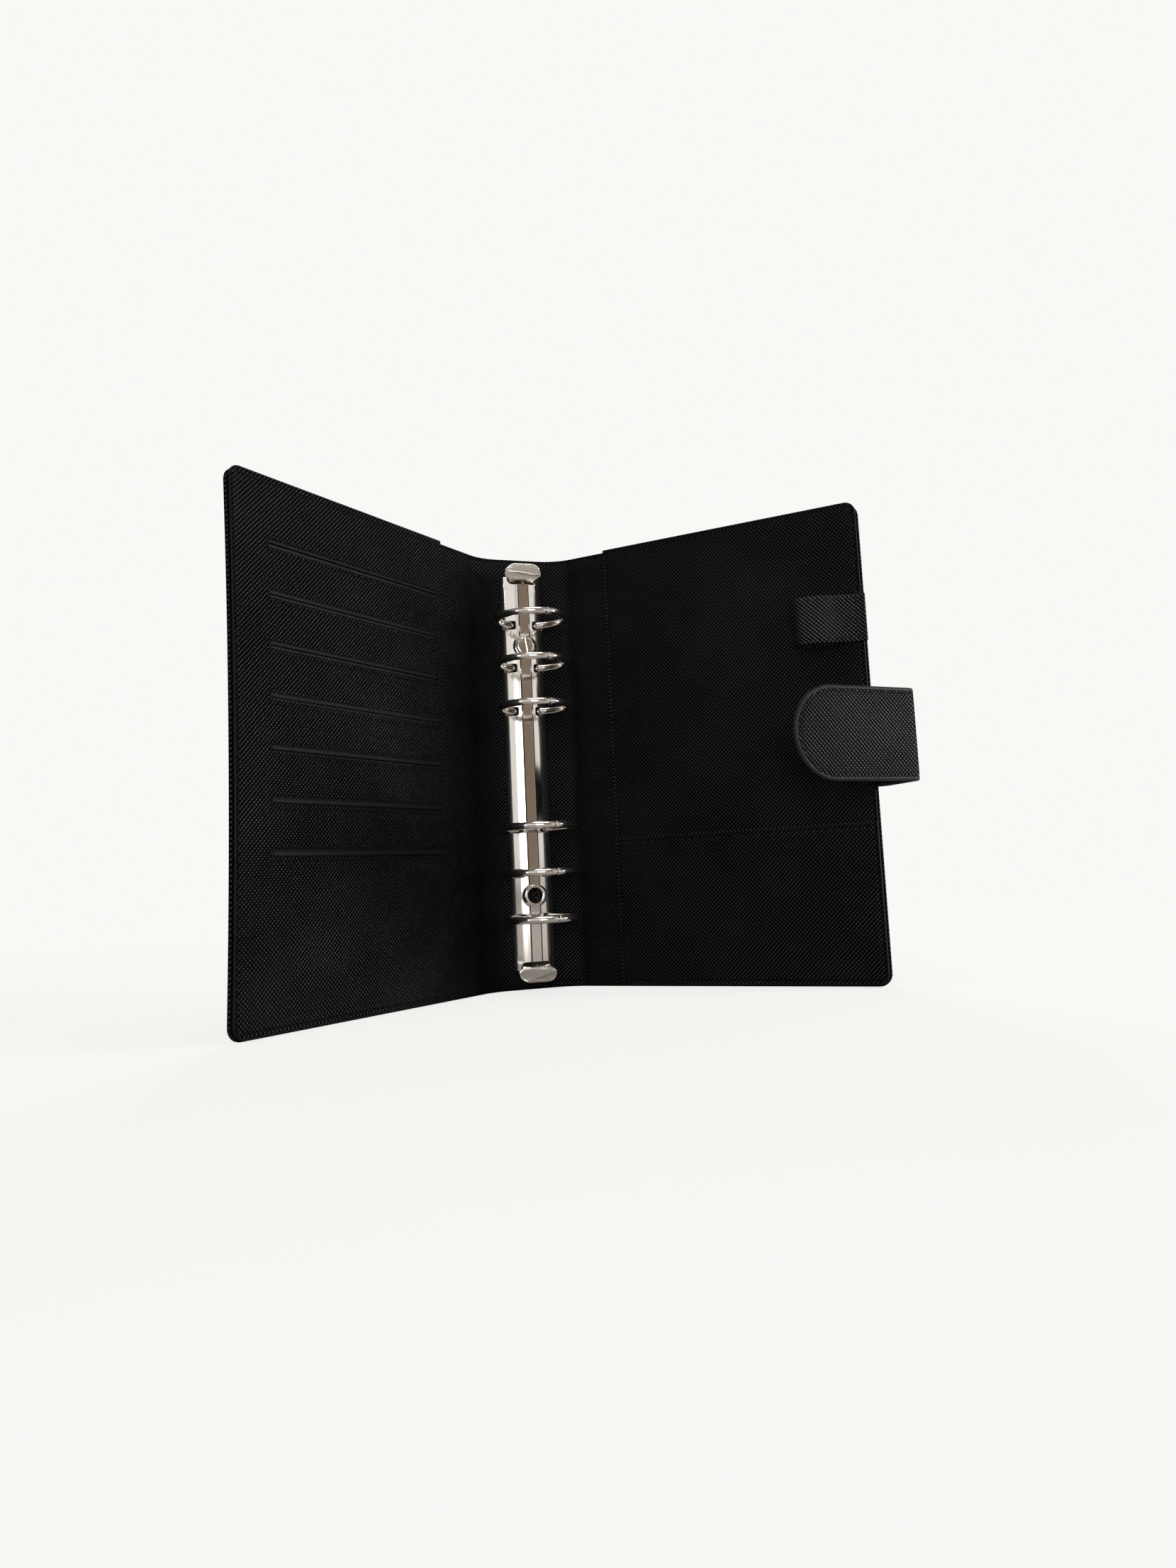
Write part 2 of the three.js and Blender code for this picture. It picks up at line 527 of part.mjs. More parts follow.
// Lever: a bent plate seen from its side, from the finger inside the plate to the thumb tab
function leverPiece(name, end) {
  const pivotZ = end > 0 ? PLATE_TOP - LEVER_PIVOT_INSET : PLATE_BOTTOM + LEVER_PIVOT_INSET;
  const spine = new THREE.SplineCurve([
    new THREE.Vector2(-LEVER_FINGER_REACH, -LEVER_FINGER_DROP),
    new THREE.Vector2(-LEVER_ELBOW_REACH, -LEVER_ELBOW_DROP),
    new THREE.Vector2(LEVER_WAIST_REACH, LEVER_WAIST_RISE),
    new THREE.Vector2(LEVER_THUMB_REACH, LEVER_THUMB_RISE),
    new THREE.Vector2(LEVER_TIP_REACH, LEVER_TIP_RISE),
  ]);
  const near = [];
  const far = [];
  const steps = 2 * ARC_STEPS;
  for (let i = 0; i <= steps; i += 1) {
    const point = spine.getPoint(i / steps);
    const along = spine.getTangent(i / steps);
    near.push([point.x - (along.y * LEVER_THICKNESS) / 2, point.y + (along.x * LEVER_THICKNESS) / 2]);
    far.push([point.x + (along.y * LEVER_THICKNESS) / 2, point.y - (along.x * LEVER_THICKNESS) / 2]);
  }
  const outline2d = [...near, ...far.reverse()].map(([out, height]) => new THREE.Vector2(out, height));
  const sideView = new THREE.Shape(outline2d);
  const bent = new THREE.ExtrudeGeometry(sideView, { depth: 2 * LEVER_HALF_WIDTH, bevelEnabled: false })
    .translate(0, 0, -LEVER_HALF_WIDTH)
    .applyMatrix4(new THREE.Matrix4().makeBasis(
      new THREE.Vector3(0, 0, 1), new THREE.Vector3(0, -1, 0), new THREE.Vector3(1, 0, 0),
    ));
  const front = new THREE.Shape();
  const neckEnd = LEVER_NECK_LENGTH;
  const cornerX = LEVER_HALF_WIDTH - LEVER_CORNER_RADIUS;
  const cornerZ = LEVER_TIP_REACH - LEVER_CORNER_RADIUS + LEVER_TIP_TRIM;
  front.moveTo(-LEVER_NECK_HALF, -2 * LEVER_TIP_REACH);
  front.lineTo(LEVER_NECK_HALF, -2 * LEVER_TIP_REACH);
  front.lineTo(LEVER_NECK_HALF, neckEnd);
  front.lineTo(LEVER_HALF_WIDTH, neckEnd + LEVER_SHOULDER);
  front.absarc(cornerX, cornerZ, LEVER_CORNER_RADIUS, 0, Math.PI / 2, false);
  front.absarc(-cornerX, cornerZ, LEVER_CORNER_RADIUS, Math.PI / 2, Math.PI, false);
  front.lineTo(-LEVER_HALF_WIDTH, neckEnd + LEVER_SHOULDER);
  front.lineTo(-LEVER_NECK_HALF, neckEnd);
  front.closePath();
  const outline = sheet(front, -3 * LEVER_TIP_RISE, 3 * LEVER_TIP_RISE);
  const trimmed = geometryOf(solidOf(bent).intersect(solidOf(outline)));
  const pinLength = 2 * (LEVER_NECK_HALF + LEVER_PIN_REACH);
  const pin = new THREE.CylinderGeometry(LEVER_PIN_RADIUS, LEVER_PIN_RADIUS, pinLength, WIRE_SIDES)
    .rotateZ(Math.PI / 2);
  const mesh = namedMesh(name, joined([trimmed, pin]), material.nickel);
  mesh.position.set(0, -LEVER_PIVOT_HEIGHT, pivotZ);
  if (end < 0) mesh.rotation.y = Math.PI;
  return mesh;
}

// Cover frame: X runs from the spine's middle to the free edge along the inner face, Z is up.
// lean is +1 for the back cover, whose reader side is -Y of this frame, and -1 for the front cover.
function coverLayer(lean, xNear, xFar, heightLow, heightHigh, zLow, zHigh, radius) {
  return sheet(coverOutline(xNear, xFar, zLow, zHigh, radius), -lean * heightLow, -lean * heightHigh);
}

function hingeSocket(lean) {
  return barAlongZ(SOCKET_RADIUS, -1, COVER_HEIGHT + 1, HINGE_S, -lean * HINGE_DEPTH);
}

function coverShell(prefix, lean) {
  const socket = hingeSocket(lean);
  const wholeLeather = coverLayer(
    lean, HINGE_S, COVER_REACH,
    OUTER_FACE, BOARD_FRONT, 0, COVER_HEIGHT, CORNER_RADIUS,
  );
  const recess = coverLayer(
    lean, HINGE_S + TURNED_EDGE_WIDTH, COVER_REACH - TURNED_EDGE_WIDTH,
    LEATHER_FLOOR, 1, TURNED_EDGE_WIDTH, COVER_HEIGHT - TURNED_EDGE_WIDTH, CORNER_RADIUS / 2,
  );
  const boardInset = TURNED_EDGE_WIDTH + BOARD_CLEARANCE;
  const board = coverLayer(
    lean, HINGE_S + boardInset, COVER_REACH - boardInset,
    BOARD_BACK, BOARD_FRONT, boardInset, COVER_HEIGHT - boardInset, CORNER_RADIUS / 2,
  );
  const liner = coverLayer(
    lean, HINGE_S, COVER_REACH - LINER_INSET,
    LINER_BACK, 0, LINER_INSET, COVER_HEIGHT - LINER_INSET, CORNER_RADIUS,
  );
  return [
    namedMesh(`${prefix}_leather`, cutAway(wholeLeather, [recess, socket]), material.leather),
    namedMesh(`${prefix}_board`, board, material.board),
    namedMesh(`${prefix}_liner`, cutAway(liner, [socket]), material.leather),
  ];
}

function cardPanel(lean) {
  const far = COVER_REACH - LINER_INSET;
  const shape = coverOutline(CARD_PANEL_START, far, LINER_INSET, COVER_HEIGHT - LINER_INSET, CORNER_RADIUS);
  for (let i = 0; i < CARD_SLIT_COUNT; i += 1) {
    const z = CARD_SLIT_TOP - i * CARD_SLIT_PITCH;
    const slitFar = COVER_REACH - CARD_SLIT_FROM_EDGE;
    const slit = new THREE.Path();
    slit.moveTo(slitFar - CARD_SLIT_LENGTH, z - CARD_SLIT_WIDTH / 2);
    slit.lineTo(slitFar, z - CARD_SLIT_WIDTH / 2);
    slit.lineTo(slitFar, z + CARD_SLIT_WIDTH / 2);
    slit.lineTo(slitFar - CARD_SLIT_LENGTH, z + CARD_SLIT_WIDTH / 2);
    slit.closePath();
    shape.holes.push(slit);
  }
  return namedMesh('card_panel', sheet(shape, -lean * PANEL_BACK, -lean * PANEL_FRONT), material.leather);
}

function backPanels(lean) {
  const far = COVER_REACH - LINER_INSET;
  const high = COVER_HEIGHT - LINER_INSET;
  const panel = coverLayer(
    lean, BACK_PANEL_START, far,
    PANEL_BACK, PANEL_FRONT, LINER_INSET, high, CORNER_RADIUS,
  );
  const pocketShape = new THREE.Shape();
  pocketShape.moveTo(BACK_PANEL_START, LINER_INSET);
  pocketShape.lineTo(far - CORNER_RADIUS, LINER_INSET);
  const cornerZ = LINER_INSET + CORNER_RADIUS;
  pocketShape.absarc(far - CORNER_RADIUS, cornerZ, CORNER_RADIUS, -Math.PI / 2, 0, false);
  pocketShape.lineTo(far, LOWER_POCKET_HEIGHT);
  pocketShape.lineTo(BACK_PANEL_START, LOWER_POCKET_HEIGHT);
  pocketShape.closePath();
  const pocket = sheet(pocketShape, -lean * POCKET_BACK, -lean * POCKET_FRONT);
  return [
    namedMesh('back_panel', panel, material.leather),
    namedMesh('lower_pocket', pocket, material.leather),
  ];
}

// Pen loop: a strip folded back on itself, seen from above as a drop whose point is sewn at the edge
function penLoop(lean) {
  const seat = PANEL_FRONT + LAYER_GAP;
  const foldRadius = PEN_LOOP_RISE / 2;
  const foldX = COVER_REACH - PEN_LOOP_REACH + foldRadius;
  const foldHeight = seat + foldRadius;
  const tipX = COVER_REACH + PEN_LOOP_OVERHANG;
  const seamX = COVER_REACH - PEN_LOOP_SEAM;
  const topHeight = seat + 2 * PEN_LOOP_THICKNESS;
  const crownX = foldX + foldRadius;
  const dropOutline = (inset) => {
    const points = [];
    const radius = foldRadius - inset;
    for (let i = 0; i <= 2 * ARC_STEPS; i += 1) {
      const turn = Math.PI / 2 + (Math.PI * i) / (2 * ARC_STEPS);
      points.push([foldX + radius * Math.cos(turn), foldHeight + radius * Math.sin(turn)]);
    }
    return points;
  };
  const outer = [
    [tipX, topHeight],
    [seamX, topHeight],
    [crownX, seat + PEN_LOOP_RISE * 0.93],
    ...dropOutline(0),
    [tipX, seat],
  ];
  const inner = [
    [seamX - 1, topHeight - PEN_LOOP_THICKNESS],
    [crownX, seat + PEN_LOOP_RISE * 0.93 - PEN_LOOP_THICKNESS],
    ...dropOutline(PEN_LOOP_THICKNESS),
  ];
  const zHigh = PEN_LOOP_BOTTOM + PEN_LOOP_HEIGHT;
  const placed = (points) => points.map(([x, height]) => [x, -lean * height]);
  const strip = raised(placed(outer), PEN_LOOP_BOTTOM, zHigh);
  const hollow = raised(placed(inner), PEN_LOOP_BOTTOM - 1, zHigh + 1);
  return namedMesh('pen_loop', cutAway(strip, [hollow]), material.leather);
}

// Strap, seen from above: sewn to the outer face, bent round the edge, straight up to its fold
function strapBend() {
  const innerHeight = OUTER_FACE - LAYER_GAP;
  const centreHeight = innerHeight + STRAP_BEND_RADIUS;
  const direction = [Math.cos(STRAP_BEND_ANGLE), Math.sin(STRAP_BEND_ANGLE)];
  const bendEnd = [
    COVER_REACH + STRAP_BEND_RADIUS * Math.sin(STRAP_BEND_ANGLE),
    centreHeight - STRAP_BEND_RADIUS * Math.cos(STRAP_BEND_ANGLE),
  ];
  const fold = [
    bendEnd[0] + STRAP_BRIDGE_LENGTH * direction[0],
    bendEnd[1] + STRAP_BRIDGE_LENGTH * direction[1],
  ];
  return { innerHeight, centreHeight, direction, fold };
}

function strapBase(lean) {
  const { innerHeight, centreHeight, direction, fold } = strapBend();
  const arc = (radius) => {
    const points = [];
    for (let i = 0; i <= ARC_STEPS; i += 1) {
      const turn = (STRAP_BEND_ANGLE * i) / ARC_STEPS;
      points.push([COVER_REACH + radius * Math.sin(turn), centreHeight - radius * Math.cos(turn)]);
    }
    return points;
  };
  const end = [0, 1].map((i) => fold[i] - STRAP_FOLD_CLEARANCE * direction[i]);
  const outline = [
    [COVER_REACH - STRAP_SEWN_LENGTH, innerHeight],
    ...arc(STRAP_BEND_RADIUS),
    end,
    [end[0] + STRAP_THICKNESS * direction[1], end[1] - STRAP_THICKNESS * direction[0]],
    ...arc(STRAP_BEND_RADIUS + STRAP_THICKNESS).reverse(),
    [COVER_REACH - STRAP_SEWN_LENGTH, innerHeight - STRAP_THICKNESS],
  ];
  const placed = outline.map(([x, height]) => [x, -lean * height]);
  return namedMesh('strap_base', raised(placed, STRAP_BOTTOM, STRAP_BOTTOM + STRAP_WIDTH), material.strap);
}

// Flap frame: X runs from the fold to the tip, its inner face is at Y = 0 and its outer face at +Y * lean
function flapPieces(lean) {
  const radius = STRAP_WIDTH / 2;
  const middle = STRAP_BOTTOM + radius;
  const shape = new THREE.Shape();
  shape.moveTo(STRAP_FOLD_CLEARANCE, STRAP_BOTTOM);
  shape.lineTo(STRAP_FLAP_LENGTH - radius, STRAP_BOTTOM);
  shape.absarc(STRAP_FLAP_LENGTH - radius, middle, radius, -Math.PI / 2, Math.PI / 2, false);
  shape.lineTo(STRAP_FOLD_CLEARANCE, STRAP_BOTTOM + STRAP_WIDTH);
  shape.closePath();
  const geometry = new THREE.ExtrudeGeometry(shape, {
    depth: STRAP_THICKNESS,
    bevelEnabled: false,
    curveSegments: ROUND_SIDES,
  }).rotateX(Math.PI / 2).translate(0, lean > 0 ? STRAP_THICKNESS : 0, 0);
  const snapX = STRAP_FLAP_LENGTH - radius;
  const snapBack = LAYER_GAP + SNAP_THICKNESS;
  const snap = barAlongY(SNAP_RADIUS, -lean * LAYER_GAP, -lean * snapBack, snapX, middle);
  return [
    namedMesh('strap_flap', geometry, material.strap),
    namedMesh('strap_snap', snap, material.steel),
  ];
}

function frontSnap(lean) {
  const outer = OUTER_FACE - LAYER_GAP;
  const z = STRAP_BOTTOM + STRAP_WIDTH / 2;
  const x = COVER_REACH - SNAP_FROM_EDGE;
  const disc = barAlongY(SNAP_RADIUS, -lean * outer, -lean * (outer - SNAP_THICKNESS), x, z);
  return namedMesh('front_snap', disc, material.steel);
}

// A cover turns about its pivot, half way through its thickness at the spine's edge
function coverGroup(side, restAngle, pieces) {
  const turned = new THREE.Group();
  turned.add(...pieces);
  turned.position.set(-HINGE_S, side * HINGE_DEPTH, 0);
  const cover = new THREE.Group();
  cover.add(turned);
  cover.position.set(side * PIVOT_X, PIVOT_Y, 0);
  cover.rotation.z = side > 0 ? -restAngle : Math.PI + restAngle;
  return cover;
}

function flapGroup(lean) {
  const { fold } = strapBend();
  const flap = new THREE.Group();
  flap.add(...flapPieces(lean));
  flap.position.set(fold[0], -lean * fold[1], 0);
  flap.rotation.z = -lean * (STRAP_BEND_ANGLE + STRAP_FOLD_ANGLE);
  return flap;
}

const binder = new THREE.Group();
binder.position.y = -FOOT_DEPTH;
binder.add(...spinePieces(), platePiece(), ...fastenerPieces());
binder.add(leverPiece('lever_top', 1), leverPiece('lever_bottom', -1));
for (const [word, side] of [['left', -1], ['right', 1]]) {
  binder.add(railPiece(`rail_${word}`, side));
  RING_HEIGHTS.forEach((z, i) => binder.add(ringHalf(`ring_${word}_${i + 1}`, side, z)));
}
binder.add(coverGroup(-1, FRONT_REST_ANGLE, [...coverShell('front', -1), cardPanel(-1), frontSnap(-1)]));
binder.add(coverGroup(1, BACK_REST_ANGLE, [
  ...coverShell('back', 1), ...backPanels(1), penLoop(1), strapBase(1), flapGroup(1),
]));

export default binder;
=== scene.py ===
"""Looks of the six-ring planner binder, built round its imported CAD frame.

Shapes are worked out in millimetres in the part's frame, and turn into metres where a mesh is made.
s runs along a skin from the middle of the spine to a cover's free edge, u is the height over the skin's
inner face towards the reader, and z runs up. side is -1 for the front cover and 1 for the back cover.
"""

import json
import math

import bmesh
import bpy
from mathutils import Matrix, Vector


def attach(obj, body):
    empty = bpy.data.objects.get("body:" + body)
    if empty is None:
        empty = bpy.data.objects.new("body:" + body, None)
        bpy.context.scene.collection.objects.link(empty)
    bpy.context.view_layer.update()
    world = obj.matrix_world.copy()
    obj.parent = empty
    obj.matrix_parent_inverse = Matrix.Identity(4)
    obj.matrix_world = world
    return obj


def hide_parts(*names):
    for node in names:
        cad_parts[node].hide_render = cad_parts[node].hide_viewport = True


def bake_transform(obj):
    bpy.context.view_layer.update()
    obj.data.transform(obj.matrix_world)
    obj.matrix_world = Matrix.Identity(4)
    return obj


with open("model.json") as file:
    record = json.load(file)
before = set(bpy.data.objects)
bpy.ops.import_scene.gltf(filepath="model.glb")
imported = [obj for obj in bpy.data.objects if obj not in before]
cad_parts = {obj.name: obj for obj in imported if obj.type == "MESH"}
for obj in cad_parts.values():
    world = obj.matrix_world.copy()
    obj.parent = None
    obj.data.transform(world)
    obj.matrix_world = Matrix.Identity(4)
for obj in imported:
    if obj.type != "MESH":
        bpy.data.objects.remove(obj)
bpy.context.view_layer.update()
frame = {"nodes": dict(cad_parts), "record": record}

MM = 0.001
FRONT = -1
BACK = 1

# Covers and spine
COVER_HEIGHT = 190.0
COVER_REACH = 155.3
CORNER_RADIUS = 5.0
COVER_DEPTH = 2.1
INNER_Y = -1.3
SPINE_FLAT_HALF = 9.4
SPINE_ARC_RADIUS = 19.0
SPINE_ARC_ANGLE = math.radians(40.7)
REST_ANGLE = {FRONT: math.radians(40.7), BACK: math.radians(46.2)}
HINGE_BLEND = 4.0
FRONT_BOW = 1.9
SKIN_TOP = 189.2

# Layers over the inner face, and how far each edge lies inside the cover's edge
LEATHER_LIP = -0.35
SKIN_FRONT = -0.75
LINING_BACK = -0.7
LINING_INSET = 0.9
PAGE_INSET = 0.6
PAGE_TOP = 190.5
PAGE_BACK = 0.05
PAGE_FRONT = 0.85
POCKET_BACK = 0.9
POCKET_FRONT = 1.65

# Board of the front cover
BOARD_START = 26.0
BOARD_END = 152.0
BOARD_INSET = 3.3
BOARD_BACK = -1.4
BOARD_FRONT = -0.75

# Stitching
STITCH_INSET = 2.2
STITCH_PITCH = 3.4
STITCH_LENGTH = 2.5
THREAD_RADIUS = 0.27
STITCH_GROOVE = 0.32
GROOVE_WIDTH = 0.5
STITCH_SIDES = 6
# One stitch along its length: place in its half length, width and sink in its radius
STITCH_SHAPE = (
    (-1.0, 0.35, -0.9), (-0.8, 0.85, -0.35), (-0.3, 1.0, 0.0),
    (0.3, 1.0, 0.0), (0.8, 0.85, -0.35), (1.0, 0.35, -0.9),
)

# The pages' faces are pressed down near their edges
EDGE_PRESS = 0.12
EDGE_PRESS_START = 1.2
EDGE_PRESS_WIDTH = 2.2
INNER_SEAM_SHIFT = 0.4

# Card page of the front cover
CARD_PAGE_START = 44.0
SLIT_COUNT = 7
SLIT_TOP = 165.7
SLIT_PITCH = 17.9
SLIT_END = COVER_REACH - 16.0
SLIT_LENGTH = 90.0
SLIT_START = SLIT_END - SLIT_LENGTH
SLIT_HALF_WIDTH = 0.17
SLIT_SEAM_ABOVE = 2.3
SLIT_SEAM_BELOW = 1.9
SLIT_DEPTH = 0.66
SLIT_LINES = (
    -2.6, -2.25, -1.9, -1.55, -1.2, -0.7, -0.45, -0.3, -0.15, 0,
    0.15, 0.3, 0.45, 0.8, 1.2, 1.6, 1.95, 2.3, 2.65, 3,
)

# Panel and lower pocket of the back cover
BACK_PAGE_START = 41.0
POCKET_HEIGHT = 62.6
POCKET_SEAM_Z = POCKET_HEIGHT - 2.2

# Pen loop
LOOP_BOTTOM = 133.0
LOOP_TOP = 152.0
LOOP_REACH = 27.0
LOOP_OVERHANG = 1.2
LOOP_THICKNESS = 1.0
LOOP_RISE = 9.4
LOOP_SEAM = 4.5
LOOP_SIDE_SEAM = 1.7
LOOP_END_SEAM = 2.6

# Closure strap
STRAP_BOTTOM = 76.0
STRAP_WIDTH = 34.5
STRAP_THICKNESS = 1.8
STRAP_SEWN_LENGTH = 42.0
STRAP_BEND_RADIUS = 6.2
STRAP_BEND_ANGLE = math.radians(45)
STRAP_BRIDGE = 18.2
STRAP_FOLD_ANGLE = math.radians(81)
STRAP_FOLD_RADIUS = 1.2
STRAP_FLAP = 54.6
STRAP_BAND = 1.25
STRAP_SEAM = 1.75
SNAP_FROM_FOLD = 39.75
SNAP_FROM_EDGE = 15
SNAP_PROFILE = [
    (0, 0.05), (6.8, 0.05), (6.95, 0.25), (6.95, 1.0), (6.6, 1.5), (5.6, 1.8), (4.6, 1.75),
    (4.1, 1.35), (3.9, 0.9), (2.2, 0.9), (1.9, 1.2), (1.2, 1.35), (0, 1.38),
]

# Ring mechanism
MECHANISM_CENTRE = 94.0
PLATE_LENGTH = 170.6
PLATE_HALF_WIDTH = 9.3
PLATE_HEIGHT = 8.5
PLATE_LIP = 1.2
PLATE_FOOT = 0.3
PLATE_THICKNESS = 0.7
RIDGE_HALF_WIDTH = 2.25
RIDGE_STEP = 0.5
FLANK_SLOPE_TOP = math.radians(8)
FLANK_SLOPE_LOW = math.radians(34)
SHOULDER_START = 7.9
PAD_RADIUS = 4.3
MOUTH_DEPTH = 3.5
MOUTH_HALF = 6.7
EAR_X = 7.0
EAR_DEPTH = 4.3
EAR_DIMPLE = 0.12
RING_PITCH = 19.05
RING_MIDDLE_GAP = 50.8
RING_RADIUS = 14.5
WIRE_RADIUS = 1.5
RING_CENTRE = 20.45
RING_JOINT_ANGLE = math.radians(10)
RING_JOINT_GAP = 0.16
RING_FOOT_X = 5.3
RING_FOOT_BEND = 3.0
RING_FOOT_BOTTOM = 0.9
NOTCH_INNER = 3.6
NOTCH_OUTER = 9.0
NOTCH_HEIGHT = 3.9
NOTCH_CORNER = 0.9
# The end of a ring half: places back from its last point with the radius there, then its peg or socket
RING_END = ((0.24, 1.5), (0.12, 1.46), (0.03, 1.34), (0.0, 1.15))
RING_PEG = ((-0.08, 0.8), (-0.2, 0.45))
RING_SOCKET = ((0.15, 0.75), (0.25, 0.3))
RING_SIDES = 20
SCREW_PROFILE = [
    (0, -1.2), (1.6, -1.2), (1.6, 0.1), (4.0, 0.1), (4.1, 0.2), (4.1, 0.75),
    (4.05, 0.9), (3.75, 1.25), (3.6, 1.33), (3.0, 1.37), (1.6, 1.4), (0, 1.4),
]
SCREW_TURN = math.radians(-9)
EYELET_PROFILE = [
    (3.55, 0.1), (3.55, -9.0), (4.4, -9.05), (4.4, -9.3), (3.1, -9.3), (3.1, 0.2),
    (3.15, 0.42), (3.4, 0.78), (3.85, 0.92), (4.3, 0.8), (4.58, 0.45), (4.6, 0.14),
]
LEVER_HALF_WIDTH = 8.5
LEVER_NECK_HALF = 6.3
LEVER_THICKNESS = 1.2
LEVER_PIVOT_INSET = 2.6
LEVER_PIVOT_HEIGHT = 4.0
LEVER_CORNER = 5.0
LEVER_NECK_SHARE = 0.52
LEVER_DISH = 0.22
LEVER_SIDE_VIEW = [(-3.0, -2.4), (-0.9, -1.1), (0.6, 1.9), (3.2, 4.75), (7.5, 7.2)]

HINGE_S = SPINE_FLAT_HALF + SPINE_ARC_RADIUS * SPINE_ARC_ANGLE
HINGE_DEPTH = COVER_DEPTH / 2
PIVOT_X = (
    SPINE_FLAT_HALF + SPINE_ARC_RADIUS * math.sin(SPINE_ARC_ANGLE)
    + HINGE_DEPTH * math.sin(SPINE_ARC_ANGLE)
)
PIVOT_Y = (
    INNER_Y - SPINE_ARC_RADIUS * (1 - math.cos(SPINE_ARC_ANGLE))
    + HINGE_DEPTH * math.cos(SPINE_ARC_ANGLE)
)
PLATE_TOP = MECHANISM_CENTRE + PLATE_LENGTH / 2
PLATE_BOTTOM = MECHANISM_CENTRE - PLATE_LENGTH / 2
RING_OFFSETS = [RING_MIDDLE_GAP / 2 + step * RING_PITCH for step in (2, 1, 0)]
RING_HEIGHTS = [MECHANISM_CENTRE + offset for offset in RING_OFFSETS]
RING_HEIGHTS += [MECHANISM_CENTRE - offset for offset in reversed(RING_OFFSETS)]
SCREW_Z = (RING_HEIGHTS[0] + RING_HEIGHTS[1]) / 2
EYELET_Z = (RING_HEIGHTS[4] + RING_HEIGHTS[5]) / 2


def smooth(t):
    t = min(max(t, 0.0), 1.0)
    return t * t * (3 - 2 * t)


def bump(distance, width):
    return math.exp(-((distance / width) ** 2))


def spaced(start, end, step):
    count = max(1, round((end - start) / step))
    return [start + (end - start) * i / count for i in range(count + 1)]


def merged(*groups):
    """All the lines of the groups in order, without those that nearly repeat the one before."""
    found = []
    for value in sorted(v for group in groups for v in group):
        if not found or value - found[-1] > 0.05:
            found.append(value)
    return found


# Places on the skins
def spine_point(s, u):
    turn = min(max((s - SPINE_FLAT_HALF) / SPINE_ARC_RADIUS, 0.0), SPINE_ARC_ANGLE)
    past = s - SPINE_FLAT_HALF - SPINE_ARC_RADIUS * turn
    x = SPINE_FLAT_HALF + SPINE_ARC_RADIUS * math.sin(turn) + past * math.cos(turn)
    y = INNER_Y - SPINE_ARC_RADIUS * (1 - math.cos(turn)) - past * math.sin(turn)
    return x - u * math.sin(turn), y - u * math.cos(turn)


def cover_point(side, s, u):
    turn = REST_ANGLE[side]
    rise = u + HINGE_DEPTH
    along = s - HINGE_S
    x = PIVOT_X - rise * math.sin(turn) + along * math.cos(turn)
    y = PIVOT_Y - rise * math.cos(turn) - along * math.sin(turn)
    return x, y


def bow(side, s, z):
    """How far the front cover stands proud of its plane: most at the middle of its free edge."""
    if side == BACK or s < HINGE_S:
        return 0.0
    out = (s - HINGE_S) / (COVER_REACH - HINGE_S)
    up = (z - COVER_HEIGHT / 2) / (COVER_HEIGHT / 2)
    return FRONT_BOW * out * out * (1 - up * up)


def place(side, s, u, z):
    """The point of a skin in the part's frame, in metres."""
    share = smooth((s - HINGE_S + HINGE_BLEND) / (2 * HINGE_BLEND))
    near = spine_point(s, u)
    far = cover_point(side, s, u + bow(side, s, z))
    x = near[0] * (1 - share) + far[0] * share
    y = near[1] * (1 - share) + far[1] * share
    return Vector((side * x, y, z)) * MM


def on_skin(side):
    return lambda s, u, z: place(side, s, u, z)


# Materials
def new_material(name):
    material = bpy.data.materials.new(name)
    material.use_nodes = True
    tree = material.node_tree
    shader = next(n for n in tree.nodes if n.type == "BSDF_PRINCIPLED")
    return material, tree, shader


def feed(tree, node, inputs):
    """Links the sockets among the inputs to the node, and sets the rest as values."""
    for key, value in inputs.items():
        if isinstance(value, bpy.types.NodeSocket):
            tree.links.new(value, node.inputs[key])
        else:
            node.inputs[key].default_value = value


def add(tree, kind, inputs=None, **settings):
    node = tree.nodes.new(kind)
    for key, value in settings.items():
        setattr(node, key, value)
    feed(tree, node, inputs or {})
    return node


def maths(tree, operation, *values):
    node = add(tree, "ShaderNodeMath", dict(enumerate(values)), operation=operation)
    return node.outputs[0]


def noise(tree, place_at, scale, detail):
    return add(tree, "ShaderNodeTexNoise", {"Vector": place_at, "Scale": scale, "Detail": detail}).outputs[0]


def object_place(tree):
    return add(tree, "ShaderNodeTexCoord").outputs["Object"]


def press(tree, shader, height, distance, strength):
    """Gives the surface the height as a bump."""
    node = add(tree, "ShaderNodeBump", {"Strength": strength, "Distance": distance, "Height": height})
    feed(tree, shader, {"Normal": node.outputs[0]})


def ramp(tree, factor, stops):
    node = add(tree, "ShaderNodeValToRGB", {0: factor})
    elements = node.color_ramp.elements
    while len(elements) < len(stops):
        elements.new(0.5)
    for element, (position, colour) in zip(elements, stops):
        element.position = position
        element.color = (*colour, 1)
    return node.outputs[0]


def scaled(tree, value, low, high, new_low, new_high):
    inputs = {0: value, 1: low, 2: high, 3: new_low, 4: new_high}
    return add(tree, "ShaderNodeMapRange", inputs).outputs[0]


GRAIN_PITCH = 0.0012


